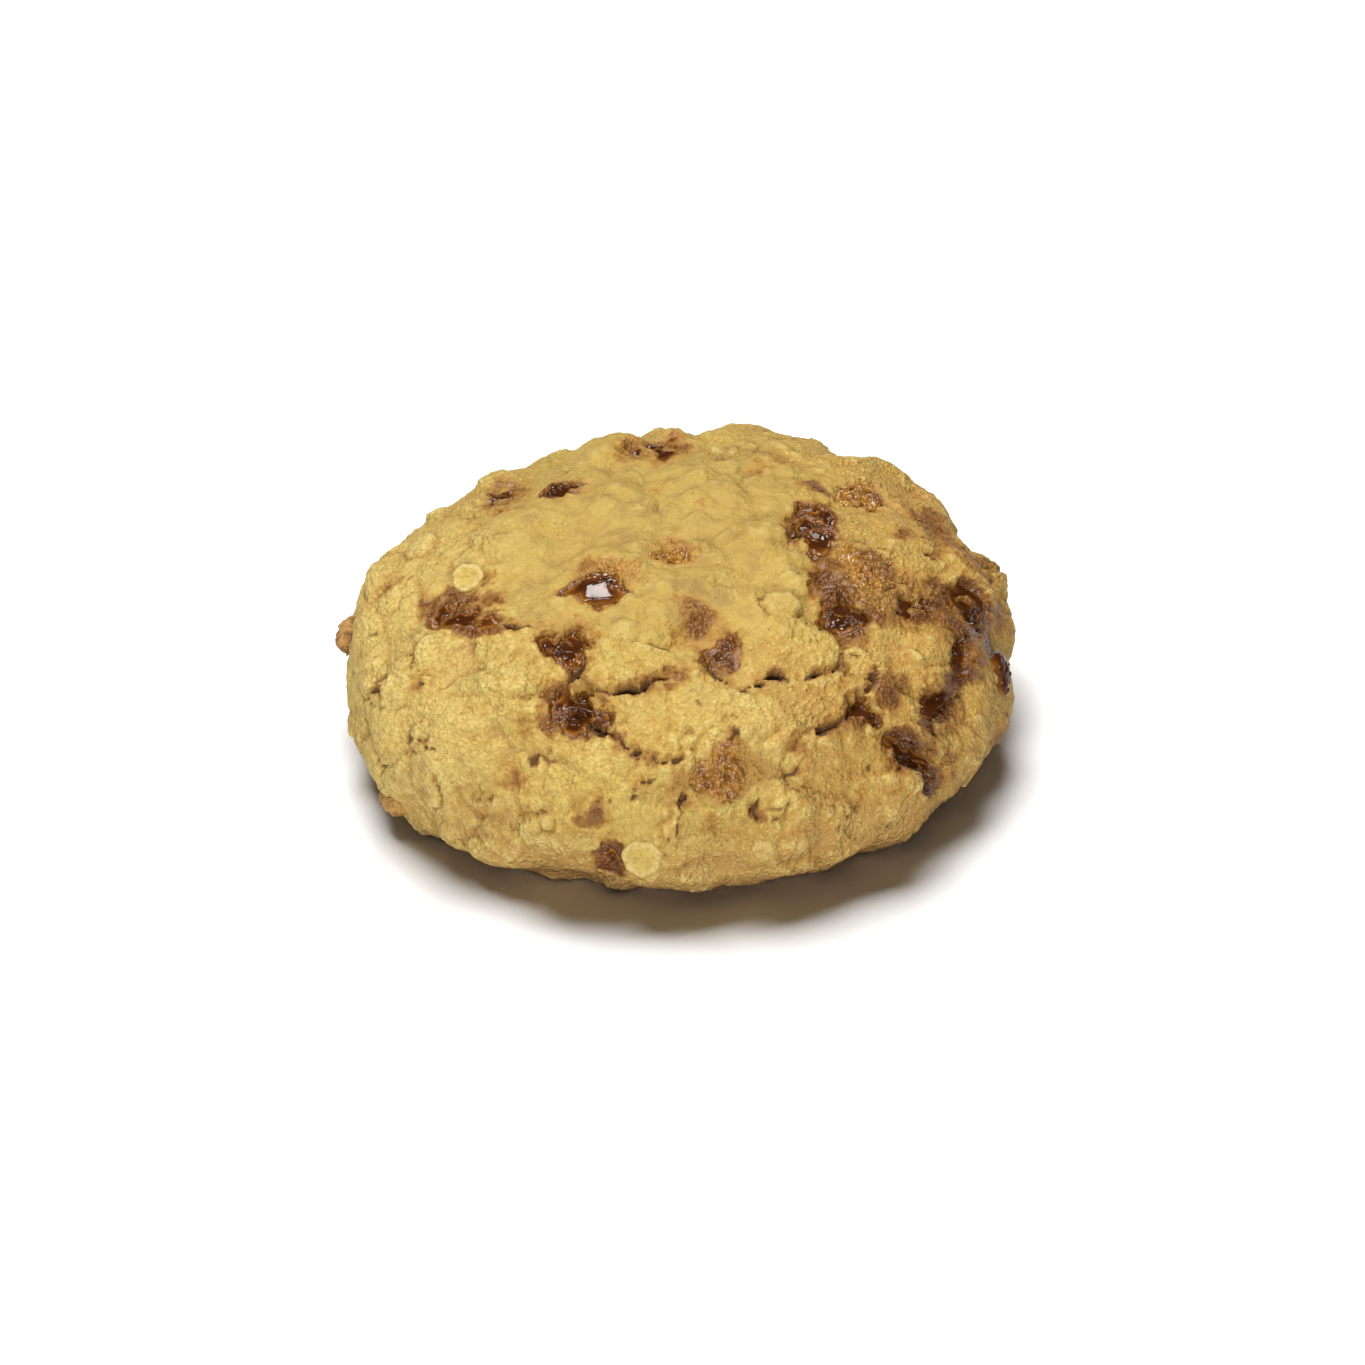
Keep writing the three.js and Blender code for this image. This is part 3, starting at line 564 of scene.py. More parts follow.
# Thin caramel that ran over the crust outside the pits, froth that dried on it, and a thin brown
# film: the place and radius of each spot, and for a stain its strength.
STAINS = [
    (210.5, 38.5, 1.8, 0.45), (203.5, 44.2, 1.4, 0.4), (238, 44.2, 2, 0.5), (241, 47, 1.6, 0.35),
    (253.5, 46.8, 1.7, 0.65), (222, 51.2, 1.2, 0.5), (237.5, 37.5, 1.5, 0.45),
    (275.5, 48, 1.5, 0.5), (294, 39.2, 1.6, 0.5), (306, 38, 1.7, 0.7), (294.5, 55, 2, 0.3),
    (317.5, 37.2, 2.2, 0.7), (321.5, 37.2, 1.8, 0.6), (313, 45.2, 2.4, 0.6), (322.5, 52.8, 2, 0.6),
    (304, 47.8, 1.8, 0.3), (344, 55.2, 2.6, 0.6), (145, 27.8, 2.2, 0.5), (180.5, 38, 1.9, 0.45),
    (204, 31.8, 1.6, 0.45), (108, 23.2, 2, 0.6), (92, 26.2, 2, 0.5), (108, 10.2, 1.4, 0.35),
    (58, 17.8, 1.9, 0.45), (56, 21.5, 1.6, 0.45), (67.5, 5.8, 1.1, 0.4), (21.5, 35, 3.2, 0.7),
    (10.5, 28.8, 2, 0.6), (9.5, 42.5, 2.8, 0.6), (16, 44, 2.6, 0.5), (3.5, 45.2, 3, 0.65),
    (335.5, 24.5, 3, 0.7), (343, 33.2, 2.6, 0.7), (256, 37, 1.5, 0.6), (246, 40.5, 1.2, 0.3),
    (262, 29, 2, 0.6), (268, 27.6, 1.7, 0.6), (118, 48, 2.6, 0.5), (75, 50, 2.4, 0.5),
    (46, 42, 2.2, 0.5), (158, 44, 2, 0.5), (343.5, 19.5, 2.2, 0.75), (329.5, 22.2, 2.4, 0.85),
    (321, 27.5, 2.4, 0.8), (332.5, 28.2, 2.4, 0.85), (341, 30, 2.2, 0.85), (350, 30, 2.2, 0.6),
    (355, 34.8, 2.2, 0.8), (359, 38.5, 2.4, 0.8), (346.5, 38.2, 2, 0.8), (353, 44.5, 2.2, 0.75),
    (8, 37.8, 2, 0.6), (15, 34.2, 2, 0.65), (212.5, 13.2, 1.5, 0.5), (224, 12, 1.4, 0.5),
    (193.5, 32.5, 1.8, 0.7), (240.5, 31.8, 1.8, 0.75), (242, 35.8, 1.8, 0.75),
    (273, 15.8, 1.6, 0.58), (274.8, 17.4, 1.2, 0.68), (276.5, 18.8, 1.7, 0.78),
    (282, 24.5, 2.2, 0.95), (285, 23, 1.6, 1), (278.5, 25.8, 1.4, 0.85), (339.5, 41.8, 1.8, 0.85),
    (322, 47, 2.2, 0.55), (325, 50.5, 2, 0.55), (335.5, 20.2, 2.2, 0.8), (324, 24.5, 2, 0.9),
    (343, 31.5, 1.8, 0.95), (348, 33.8, 2, 0.85), (343, 39, 1.5, 0.95), (337.5, 40, 1.5, 0.95),
    (318.5, 48.2, 1.3, 1.1), (319.5, 50.2, 1.3, 1.1), (330, 21.8, 2.2, 0.9), (341.5, 31.2, 2, 0.95),
    (344, 37.8, 1.8, 1), (351, 41.2, 2.2, 0.9), (351, 45, 2, 0.9), (336, 41.8, 1.4, 1),
    (328, 42.2, 1.6, 0.9), (318, 37.2, 1.6, 0.85), (358.5, 14, 1.8, 0.95), (34, 20, 1.6, 0.7),
    (19, 34.8, 2.2, 0.7), (341, 29.5, 4.5, 0.62), (347, 35, 4.5, 0.66), (352, 41, 4.5, 0.66),
    (336, 23, 4, 0.62), (343, 41, 4, 0.6), (330, 43, 4, 0.55), (321, 46, 3.5, 0.5),
    (14, 36, 4, 0.55), (258, 5, 3, 0.5), (332, 42.2, 1.6, 0.95), (316, 45, 1.7, 1.1),
    (314, 43, 1.5, 1), (198, 30, 3, 0.55), (321, 52, 1.1, 1), (199, 28, 1.8, 0.8),
    (194, 29.2, 1.8, 0.8), (195, 24.8, 1.4, 0.6), (203.5, 25, 1.8, 0.7),
]
FROTHED = [
    (345.5, 29, 3), (338, 27, 2.6), (352, 29.8, 2.2), (253, 3.2, 2), (263, 4.6, 2.2), (271, 41.8, 2.2),
    (220, 12.2, 1.3), (234, 11.2, 1.7), (358.5, 19.2, 2.2), (284, 41, 2),
]
FILMS = [
    (154.5, 27.8, 2.4), (205, 25.5, 2.2), (198.5, 35.2, 1.6), (207, 20.5, 2), (101.5, 22.8, 2.4),
    (69.5, 22.2, 1.8), (275.5, 17.5, 3), (285, 25.5, 2), (294.5, 55, 2.2), (322.5, 53.5, 2.2),
    (352, 33, 2.4), (344, 22.5, 2), (3, 17.5, 2.2), (268, 12, 1.8), (279, 14, 2), (287, 16.2, 1.8),
]
STAIN_REACH, FROTH_REACH, FILM_REACH = 1.6, 1.5, 1.4


def spots(places, reach):
    """The strongest of some round spots at each point of the crust."""
    field = np.zeros(len(crust))
    for bearing, tape, radius, *strength in places:
        spot = nearness(ragged_edge, crust_point(bearing, tape), reach * radius)
        field = np.maximum(field, (strength[0] if strength else 1) * spot)
    return field


stain = np.maximum(stain, spots(STAINS, STAIN_REACH))
crusted = np.maximum(crusted, spots(FROTHED, FROTH_REACH))
film = spots(FILMS, FILM_REACH)

# How deep each point lies in a hollow, for painted shade in the hollows and painted light on the
# rises; where the crust is darker tan low down, less on the far left and more on the right; where
# the oven turned it more golden to the right and front; painted shade over the back; and painted
# light on the left and the front.
HOLLOW_FINE, HOLLOW_BROAD = 0.35, 0.9
GOLDEN_PLACE, GOLDEN_REACH = (312, 48), 20
PAINTED_LIGHT_PLACE, PAINTED_LIGHT_REACH = (285, 36), 10
hollow = (soften(relief, 3) - relief) / HOLLOW_FINE
broad_hollow = (soften(relief, 10) - relief) / HOLLOW_BROAD
right = blend(-5, 34, crust[:, 0])
low_down = blend(18, 3, crust[:, 2])
front_right = nearness(crust, crust_point(*GOLDEN_PLACE), GOLDEN_REACH)
uneven = 0.35 * grain(crust, 11, 31)
browning = 0.85 * low_down * blend(-40, -10, crust[:, 0]) + 0.35 * low_down * (1 + right) + uneven
browning = browning.clip(0, 1)
golden = (0.75 * right + 0.95 * front_right + uneven).clip(0, 1)
# Painted shade over the back of the crust.
shaded = blend(-16, 2, crust[:, 1]) * blend(-38, -22, crust[:, 0])
# Painted light on the left and on a patch of the front.
sunny = blend(-14, -32, crust[:, 0]) * blend(20, -5, crust[:, 1])
sunny = np.maximum(sunny, nearness(crust, crust_point(*PAINTED_LIGHT_PLACE), PAINTED_LIGHT_REACH))
foot = blend(5, 1.5, crust[:, 2])
# Painted shade along the creases between the clods.
creases = np.maximum(0.8 * broad_crease, np.maximum(0.6 * middle_crease, 0.35 * fine_crease)) * craggy
creases = creases * blend(-0.4, 0.5, grain(crust, 4, 5))
# Painted shade in the cracks, the pores, the slits beside the oats and the opened creases.
dark = np.maximum(np.maximum(crack_painted_shade, 0.7 * pore_painted_shade), np.maximum(0.55 * slit, 0.6 * gaping))
tone = 0.5 * middle_draw + 0.3 * broad_draw + 0.2 * fine_draw

# The base is flat, with slight hollows, in rings of points inside the foot.
BASE_RINGS, BASE_HOLLOW = (0.94, 0.8, 0.55, 0.28), 0.3
rim = np.concatenate([numbers[:-1, 0], numbers[-1, :-1], numbers[:0:-1, -1], numbers[0, :0:-1]])
rings = [rim]
base_points = []
for share in BASE_RINGS:
    ring = surface[rim] * [share, share, 0]
    ring[:, 2] = BASE_HOLLOW * blend(0.1, 0.5, grain(ring, 3, 41))
    rings.append(len(surface) + sum(len(made) for made in base_points) + np.arange(len(rim)))
    base_points.append(ring)
base_points.append(np.zeros((1, 3)))
points = np.concatenate([surface] + base_points)
faces = crust_faces.tolist()
for outer, inner in zip(rings, rings[1:]):
    faces += np.stack([outer, inner, np.roll(inner, -1), np.roll(outer, -1)], axis=1).tolist()
last = rings[-1]
faces += np.stack([last, np.full(len(last), len(points) - 1), np.roll(last, -1)], axis=1).tolist()

CRUST_SHEET, BASE_SHEET, SHEET_EDGE = 0.83, 0.07, 0.01
sheet_place = np.stack([across, along], axis=1) * CRUST_SHEET / 2 + CRUST_SHEET / 2 + SHEET_EDGE
base_place = points[:, :2] / WIDTH * 2 * BASE_SHEET + (1 - BASE_SHEET - SHEET_EDGE)


def make_piece(name, points, faces, sheet, marks):
    mesh = bpy.data.meshes.new(name)
    mesh.from_pydata((points / 1000).tolist(), [], faces)
    mesh.update()
    layer = mesh.uv_layers.new(name="OFBake")
    layer.data.foreach_set("uv", np.asarray(sheet, dtype=np.float32).ravel())
    for mark, values in marks.items():
        attribute = mesh.attributes.new(mark, "FLOAT", "POINT")
        attribute.data.foreach_set("value", np.asarray(values, dtype=np.float32))
    mesh.shade_smooth()
    piece = bpy.data.objects.new(name, mesh)
    bpy.context.scene.collection.objects.link(piece)
    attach(piece, "root")
    return piece


sheet = [sheet_place[crust_faces.ravel()]]
sheet += [base_place[corners] for corners in faces[len(crust_faces):]]
crust_marks = {
    "stain": stain, "crusted": crusted, "film": film * calm, "hollow": hollow,
    "broad_hollow": broad_hollow, "browning": browning, "golden": golden, "shaded": shaded,
    "sunny": sunny, "smooth": crowned, "foot": foot, "dark": dark, "crease": creases,
    "oat": plate_top, "tone": tone,
}
BASE_MARKS = {"browning": 1, "foot": 1, "tone": 0.5}
extra = len(points) - len(surface)
marks = {
    mark: np.append(values, np.full(extra, BASE_MARKS.get(mark, 0.0)))
    for mark, values in crust_marks.items()
}
dough = make_piece("dough_round", points, faces, np.concatenate(sheet), marks)
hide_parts("dough")


def arithmetic(operation, reflected=False):
    """A method of Wire that adds a Math node."""
    def apply(wire, other):
        first, second = (other, wire) if reflected else (wire, other)
        return wire.finish.node("ShaderNodeMath", {"operation": operation}, {0: first, 1: second})
    return apply


class Wire:
    """A socket in a finish. Arithmetic on it adds Math nodes."""

    def __init__(self, finish, socket):
        self.finish, self.socket = finish, socket

    def ease(self, low, high):
        sockets = {"Value": self, "From Min": low, "From Max": high}
        return self.finish.node("ShaderNodeMapRange", {"interpolation_type": "SMOOTHSTEP"}, sockets)

    __add__, __radd__ = arithmetic("ADD"), arithmetic("ADD", True)
    __sub__, __rsub__ = arithmetic("SUBTRACT"), arithmetic("SUBTRACT", True)
    __mul__, __rmul__ = arithmetic("MULTIPLY"), arithmetic("MULTIPLY", True)
    __truediv__, __rtruediv__ = arithmetic("DIVIDE"), arithmetic("DIVIDE", True)


class Finish:
    """A material being made. Sizes of its grain and heights of its bumps are in millimetres."""

    def __init__(self, name):
        self.material = bpy.data.materials.new(name)
        self.material.use_nodes = True
        self.tree = self.material.node_tree
        self.tree.nodes.clear()
        self.shader = self.tree.nodes.new("ShaderNodeBsdfPrincipled")
        output = self.tree.nodes.new("ShaderNodeOutputMaterial")
        self.tree.links.new(self.shader.outputs[0], output.inputs["Surface"])
        self.place = self.node("ShaderNodeTexCoord", out="Object")

    def feed(self, socket, value):
        if isinstance(value, Wire):
            self.tree.links.new(value.socket, socket)
        elif isinstance(value, tuple) and len(value) == 3 and socket.type == "RGBA":
            socket.default_value = (*value, 1)
        else:
            socket.default_value = value

    def node(self, kind, settings=None, sockets=None, out=0):
        made = self.tree.nodes.new(kind)
        for key, value in (settings or {}).items():
            if key == "stops":
                ramp = made.color_ramp
                while len(ramp.elements) < len(value):
                    ramp.elements.new(1)
                for element, (position, colour) in zip(ramp.elements, value):
                    element.position, element.color = position, (*colour, 1)
            else:
                setattr(made, key, value)
        for key, value in (sockets or {}).items():
            self.feed(made.inputs[key], value)
        return Wire(self, made.outputs[out])

    def noise(self, size, detail, seed):
        shift = {0: self.place, 1: (seed, seed, seed)}
        moved = self.node("ShaderNodeVectorMath", {"operation": "ADD"}, shift)
        sockets = {"Vector": moved, "Scale": 1000 / size, "Detail": detail}
        return self.node("ShaderNodeTexNoise", None, sockets)

    def cells(self, size):
        sockets = {"Vector": self.place, "Scale": 1000 / size}
        return self.node("ShaderNodeTexVoronoi", {"feature": "F1"}, sockets)

    def mark(self, name):
        return self.node("ShaderNodeAttribute", {"attribute_name": name}, None, "Fac")

    def layers(self, colour, coats):
        """Lays coats of colour over a colour, each a colour and the share of it."""
        for coat, share in coats:
            sockets = {0: share, 6: colour, 7: coat}
            colour = self.node("ShaderNodeMix", {"data_type": "RGBA"}, sockets, 2)
        return colour

    def ramp(self, value, stops):
        return self.node("ShaderNodeValToRGB", {"stops": stops}, {"Fac": value})

    def bump(self, height):
        return self.node("ShaderNodeBump", None, {"Height": height, "Distance": 0.001, "Strength": 1})

    def set(self, **values):
        for name, value in values.items():
            self.feed(self.shader.inputs[name.replace("_", " ")], value)


# The crust has painted light on its rises and crumbs and painted shade in its hollows, creases,
# cracks and pores and over its back and crown, and it is dark and wet where caramel soaked in.
CRUST_YELLOW = (0.492, 0.348, 0.085)
CRUST_PALE_AND_PAINTED_LIGHT = (0.61, 0.475, 0.162)
CRUST_OCHRE = (0.425, 0.255, 0.05)
CRUST_TAN_AND_PAINTED_SHADE = (0.38, 0.212, 0.066)
CRUST_GOLD = (0.43, 0.214, 0.04)
GOLDEN_PAINTED_SHADE = (0.36, 0.243, 0.05)
CREASE_PAINTED_SHADE = (0.30, 0.135, 0.022)
SPECK_BROWN = (0.26, 0.13, 0.027)
BROWN_FILM = (0.28, 0.168, 0.045)
CRACK_PAINTED_SHADE = (0.105, 0.045, 0.012)
GRAIN_PALE_AND_PAINTED_LIGHT = (0.62, 0.455, 0.122)
GRAIN_DARK_AND_PAINTED_SHADE = (0.385, 0.235, 0.05)
FOOT_BROWN = (0.2, 0.095, 0.032)
HONEY = (0.375, 0.185, 0.036)
SOAKED = [
    (0.0, (0.46, 0.3, 0.066)),
    (0.3, (0.37, 0.188, 0.032)),
    (0.55, (0.235, 0.097, 0.014)),
    (0.8, (0.135, 0.046, 0.007)),
    (1.0, (0.085, 0.026, 0.005)),
]
CRUST_ROUGH, WET_SMOOTHER, HONEY_SMOOTHER, WET_COAT = 0.74, 0.5, 0.26, 0.2

finish = Finish("baked_dough")
patches = finish.noise(5, 3, 0).ease(0.35, 0.68)
flecks = finish.noise(0.6, 3, 1)
mottle = finish.noise(1.6, 4, 2)
crumbs = finish.cells(0.7)
crumbly = finish.noise(4.5, 2, 5).ease(0.35, 0.65)
grit = finish.noise(0.28, 2, 17) + (crumbs - 0.33) * -0.4
specks = finish.noise(0.75, 1, 3).ease(0.72, 0.8)
smooth = finish.mark("smooth")
coarse = 1 - smooth * 0.6
dip = finish.mark("hollow") + (flecks - 0.5) * 0.7
haze = finish.mark("film") * 0.7 + smooth * 0.4 + (finish.noise(2.6, 4, 4) - 0.5) * 3
soak = finish.mark("stain") + (mottle - 0.5) * 0.7 + (flecks - 0.5) * 0.35
wet = soak.ease(0.35, 0.8)
honey = (finish.mark("crusted") + (mottle - 0.5) * 0.8 + (flecks - 0.5) * 0.4).ease(0.2, 0.8)
colour = finish.layers(CRUST_YELLOW, [
    (CRUST_OCHRE, (finish.mark("tone") + (patches - 0.5) * 0.7).ease(0.3, 1) * 0.75),
    (CRUST_PALE_AND_PAINTED_LIGHT, finish.mark("oat") * 0.35),
    # Painted shade over the back, a little more golden.
    (GOLDEN_PAINTED_SHADE, finish.mark("shaded") * 0.5),
    # Painted light on the left and on a patch of the front.
    (CRUST_PALE_AND_PAINTED_LIGHT, finish.mark("sunny") * 0.35),
    (CRUST_GOLD, finish.mark("golden") * mottle.ease(0.2, 0.7)),
    # Darker tan low down, less on the far left and more on the right.
    (CRUST_TAN_AND_PAINTED_SHADE, finish.mark("browning") * mottle.ease(0.1, 0.7)),
    # Painted light on the rises of the crust, and painted shade in its hollows and creases.
    (CRUST_PALE_AND_PAINTED_LIGHT, dip.ease(-0.1, -0.9) * 0.6),
    (CREASE_PAINTED_SHADE, dip.ease(0.05, 1.1) * 0.7),
    (CRUST_TAN_AND_PAINTED_SHADE, finish.mark("broad_hollow").ease(0, 1.2) * 0.6),
    (CREASE_PAINTED_SHADE, finish.mark("crease") * mottle.ease(0.3, 0.65)),
    # Painted shade over the crown, a little more golden.
    (GOLDEN_PAINTED_SHADE, smooth * 0.6),
    # Painted light on the tops of the crumbs and painted shade between them, over a fine random grain.
    (GRAIN_PALE_AND_PAINTED_LIGHT, grit.ease(0.5, 0.7) * coarse * 0.6),
    (GRAIN_DARK_AND_PAINTED_SHADE, grit.ease(0.46, 0.28) * coarse * 0.55),
    (FOOT_BROWN, finish.mark("foot") * mottle.ease(0, 0.6) * 0.8),
    (SPECK_BROWN, specks * 0.55),
    (BROWN_FILM, haze.ease(0.25, 1.1) * 0.72),
    (finish.ramp(soak, SOAKED), soak.ease(0.02, 0.6)),
    (HONEY, honey * 0.8),
    # Painted shade in the cracks, pores, slits and opened creases.
    (CRACK_PAINTED_SHADE, finish.mark("dark").ease(0.12, 0.7) * 0.9),
])
bubbles = finish.cells(0.55)
height = finish.noise(0.4, 3, 6) * 0.36 + crumbs * (-0.12 - crumbly * 0.3) + finish.noise(1.2, 2, 7) * 0.2
height = height * coarse * (1 - wet * 0.6) + bubbles * (wet * -0.42 + honey * -0.3) - specks * 0.08
finish.set(
    Base_Color=colour,
    Roughness=CRUST_ROUGH - wet * WET_SMOOTHER - honey * HONEY_SMOOTHER,
    Coat_Weight=wet * WET_COAT,
    Coat_Roughness=0.12,
    Specular_IOR_Level=0.3,
    Normal=finish.bump(height),
)
dough.data.materials.append(finish.material)


# The caramel is soft caramel that melted in the oven, sank into the pits and set in glossy pools
# with small bubbles. Each pool is one piece, dark where it is thick and amber at its thin edge;
# two tabs and a bead stand out of the crust at the rim.
POOL_TURNS, POOL_RINGS, POOL_REACH, POOL_HUB, POOL_FLOOR = 96, 30, 1.2, 0.012, 0.25
BACK_RINGS, BACK_THICK = (0.7, 0.35), 0.5
DROP_FROM, DROP_REACH = 6, 14
TAB_EDGE, TAB_UNEVEN, TAB_RIM, TAB_SUNK = 1.02, 0.45, 0.3, 0.6
UNDER_CRUST, STEEP_SINK, EDGE_SINK, CARAMEL_RAGGED = 0.2, 1.4, 0.25, 0.12
TOFFEE_DOME, TOFFEE_RAGGED = 0.3, 0.3
GLOSSY, GLOSSY_USUAL, GLOSSY_BUBBLE = {"caramel_crown": 0.55}, 0.1, 0.8
FRONT_SPOT, FRONT_REACH, BACK_SPOT, BACK_REACH = 0.38, 0.36, 0.88, 0.1

dough_shape = bvhtree.BVHTree.FromPolygons(points.tolist(), faces)


def disc_faces(turns, rings, first=0):
    low = first + np.arange((rings - 1) * turns).reshape(-1, turns)
    ahead = np.roll(low, -1, axis=1)
    return np.stack([low, low + turns, ahead + turns, ahead], axis=2).reshape(-1, 4).tolist()


def disc_place(middle, reach, turn):
    """Places on a piece's flat sheet, round a middle."""
    return middle + np.stack([reach * np.cos(turn), reach * np.sin(turn)], axis=1)


def drop_onto(shape, centre, axes, x, y, usual):
    """Heights in a pit's frame at which points dropped into the pit land on a shape."""
    heights = []
    for px, py in zip(x, y):
        above = Vector(centre + axes.T @ [px, py, DROP_FROM])
        hit = shape.ray_cast(above, Vector(-axes[2]), DROP_REACH)
        heights.append(DROP_FROM - hit[3] if hit[0] else usual)
    return np.array(heights)


def pool_top(name, x, y, e, floor):
    """Heights of a pool's face. It lies under the rim of the crust and sinks at a ragged edge."""
    start, end, width, depth, level, centre, axes, half_length = pits[name]
    places = centre + np.stack([x, y, 0 * x], axis=1) @ axes
    patchy = grain(places, 1.6, 55) + 0.6 * grain(places, 0.7, 56)
    if level > 0:
        dome = (1 - (e / TAB_EDGE) ** 2).clip(0) ** 0.5
        raised = (level + TAB_UNEVEN * level * patchy) * dome - TAB_RIM * (1 - dome)
        return np.where(e < TAB_EDGE, raised, -TAB_SUNK)
    cover = drop_onto(whole_shape, centre, axes, x, y, 0)
    raggedness = CARAMEL_RAGGED
    top = pool_height(name, x, y, e)
    if name.startswith("toffee"):
        raggedness = TOFFEE_RAGGED
        top = cover - UNDER_CRUST + TOFFEE_DOME * (1 - e**2)
    elif name not in DOMED:
        lower = -(axes[0, 2] * x / half_length + axes[1, 2] * y / (width / 2))
        sink = STEEP_SINK * blend(0.85, 0.6, axes[2, 2]) * blend(0, 0.8, lower)
        top = np.minimum(top, cover - UNDER_CRUST - sink)
    sunk = np.minimum(top, floor - EDGE_SINK)
    return top + (sunk - top) * blend(0.9, 1.08, np.maximum(e + raggedness * patchy, e - 0.08))


def pool_piece(name, texture):
    """A closed piece in its pit. texture(name, x, y, thick, random) gives heights to add on top."""
    start, end, width, depth, level, centre, axes, half_length = pits[name]
    random = np.random.default_rng(sum(map(ord, name)))
    turn, ring = np.meshgrid(
        np.linspace(0, 2 * math.pi, POOL_TURNS, endpoint=False),
        np.linspace(POOL_REACH, POOL_HUB, POOL_RINGS),
    )
    e, turn = ring.ravel(), turn.ravel()
    x = half_length * outline(turn, start) * e * np.cos(turn)
    y = width / 2 * outline(turn, start) * e * np.sin(turn)
    floor = drop_onto(dough_shape, centre, axes, x, y, -depth)
    top = pool_top(name, x, y, e, floor)
    rise = texture(name, x, y, (top - floor).clip(0), random)
    top = top + rise
    gloss = np.maximum(GLOSSY.get(name, GLOSSY_USUAL), GLOSSY_BUBBLE * blend(0.06, 0.2, rise))
    thick = (top - floor).clip(0)
    front = centre + np.stack([x, y, top], axis=1) @ axes

    outer = np.arange(POOL_TURNS)
    bottom = -depth if level > 0 else min(floor.min(), -depth) - POOL_FLOOR
    back = []
    for share in BACK_RINGS:
        sunk = bottom + (top[outer] - bottom) * share**3
        back.append(centre + np.stack([x[outer] * share, y[outer] * share, sunk], axis=1) @ axes)
    points = np.concatenate([front] + back + [centre + np.array([[0, 0, bottom]]) @ axes])
    faces = disc_faces(POOL_TURNS, POOL_RINGS)
    faces.append(list(range(len(front) - POOL_TURNS, len(front))))
    rings = [outer] + [len(front) + POOL_TURNS * i + outer for i in range(len(BACK_RINGS))]
    for low, high in zip(rings, rings[1:]):
        faces += np.stack([low, np.roll(low, -1), np.roll(high, -1), high], axis=1).tolist()
    last = rings[-1]
    faces += np.stack([last, np.roll(last, -1), np.full(len(last), len(points) - 1)], axis=1).tolist()

    back_turn = np.append(np.tile(turn[outer], len(BACK_RINGS)), 0)
    back_share = np.append(np.repeat(BACK_RINGS, POOL_TURNS), 0)
    front_place = disc_place(FRONT_SPOT, FRONT_REACH / POOL_REACH * e, turn)
    back_place = disc_place(BACK_SPOT, BACK_REACH * back_share, back_turn)
    rim_place = disc_place(BACK_SPOT, BACK_REACH, turn[outer])
    place = np.concatenate([front_place, back_place])
    sheet = []
    for corners in faces:
        on_back = max(corners) >= len(front)
        for number in corners:
            sheet.append(rim_place[number] if on_back and number < POOL_TURNS else place[number])
    hidden = len(points) - len(front)
    marks = {
        "thick": np.append(thick, np.full(hidden, BACK_THICK)),
        "gloss": np.append(gloss, np.full(hidden, GLOSSY_USUAL)),
    }
    piece = make_piece(name + "_pool", points, faces, np.array(sheet), marks)
    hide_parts(name)
    return piece


BUBBLE_RISE = 0.75
RIPPLED, RIPPLED_USUAL = {"caramel_crown": 0.2}, 0.03
CARAMEL_BUBBLES, CARAMEL_BUBBLE_SIZES, CARAMEL_GATHERED = 1.8, (0.22, 0.5), 0.7


def half_spans(x, y):
    """Half the length and half the width of a pool."""
    return np.abs(x).max() / POOL_REACH, np.abs(y).max() / POOL_REACH


def ripples(x, y, *waves):
    """Heights of ripples over a pool; each wave has a height, a size and a shift."""
    places = np.stack([x, y, 0 * x], axis=1)
    return sum(height * grain(places, size, shift) for height, size, shift in waves)


def domes(x, y, random, count, reach, sizes, spread):
    """Heights of bubbles over a pool, gathered towards one part of its edge by less spread."""
    heights = np.zeros(len(x))
    side = random.uniform(0, 2 * math.pi)
    for _ in range(count):
        heading = side + random.normal(0, spread)
        away = random.uniform(0.1, 1) ** 0.5
        px, py = reach[0] * away * math.cos(heading), reach[1] * away * math.sin(heading)
        size = random.uniform(*sizes)
        near = 1 - ((x - px) ** 2 + (y - py) ** 2) / size**2
        heights = np.maximum(heights, BUBBLE_RISE * size * near.clip(0) ** 0.5)
    return heights


def caramel_top(name, x, y, thick, random):
    reach = half_spans(x, y)
    count = int(CARAMEL_BUBBLES * reach[0] * reach[1])
    swell = ripples(x, y, (RIPPLED.get(name, RIPPLED_USUAL), 1.9, 51), (0.02, 0.8, 52))
    bubbles = domes(x, y, random, count, reach, CARAMEL_BUBBLE_SIZES, CARAMEL_GATHERED)
    return (swell + bubbles) * blend(0.02, 0.25, thick)


AMBER = [
    (0.0, (0.29, 0.115, 0.017)),
    (0.18, (0.22, 0.077, 0.01)),
    (0.4, (0.135, 0.042, 0.006)),
    (0.7, (0.078, 0.022, 0.003)),
    (1.0, (0.046, 0.012, 0.002)),
]
AMBER_FOAM_AND_PAINTED_LIGHT = (0.26, 0.11, 0.026)
DRIED_AMBER, DRIED_BROWN, DRIED_PALE = (0.38, 0.2, 0.05), (0.2, 0.088, 0.024), (0.52, 0.33, 0.1)

pooled = Finish("melted_caramel")
streaks = pooled.noise(2.4, 3, 8)
foam = pooled.noise(1.8, 2, 9).ease(0.52, 0.68)
froth = pooled.cells(0.42)
amber = pooled.ramp(pooled.mark("thick") + (streaks - 0.5) * 0.3, AMBER)
pooled.set(
    # Paler foam, with painted light on the tops of its bubbles.
    Base_Color=pooled.layers(amber, [(AMBER_FOAM_AND_PAINTED_LIGHT, foam * froth.ease(0.5, 0.15) * 0.35)]),
    Roughness=0.1 + streaks.ease(0.4, 0.75) * 0.12,
    Specular_IOR_Level=0.13,
    Coat_Weight=pooled.mark("gloss"),
    Coat_Roughness=0.08,
    Normal=pooled.bump(foam * froth * -0.12 + pooled.noise(0.8, 2, 10) * 0.02),
)

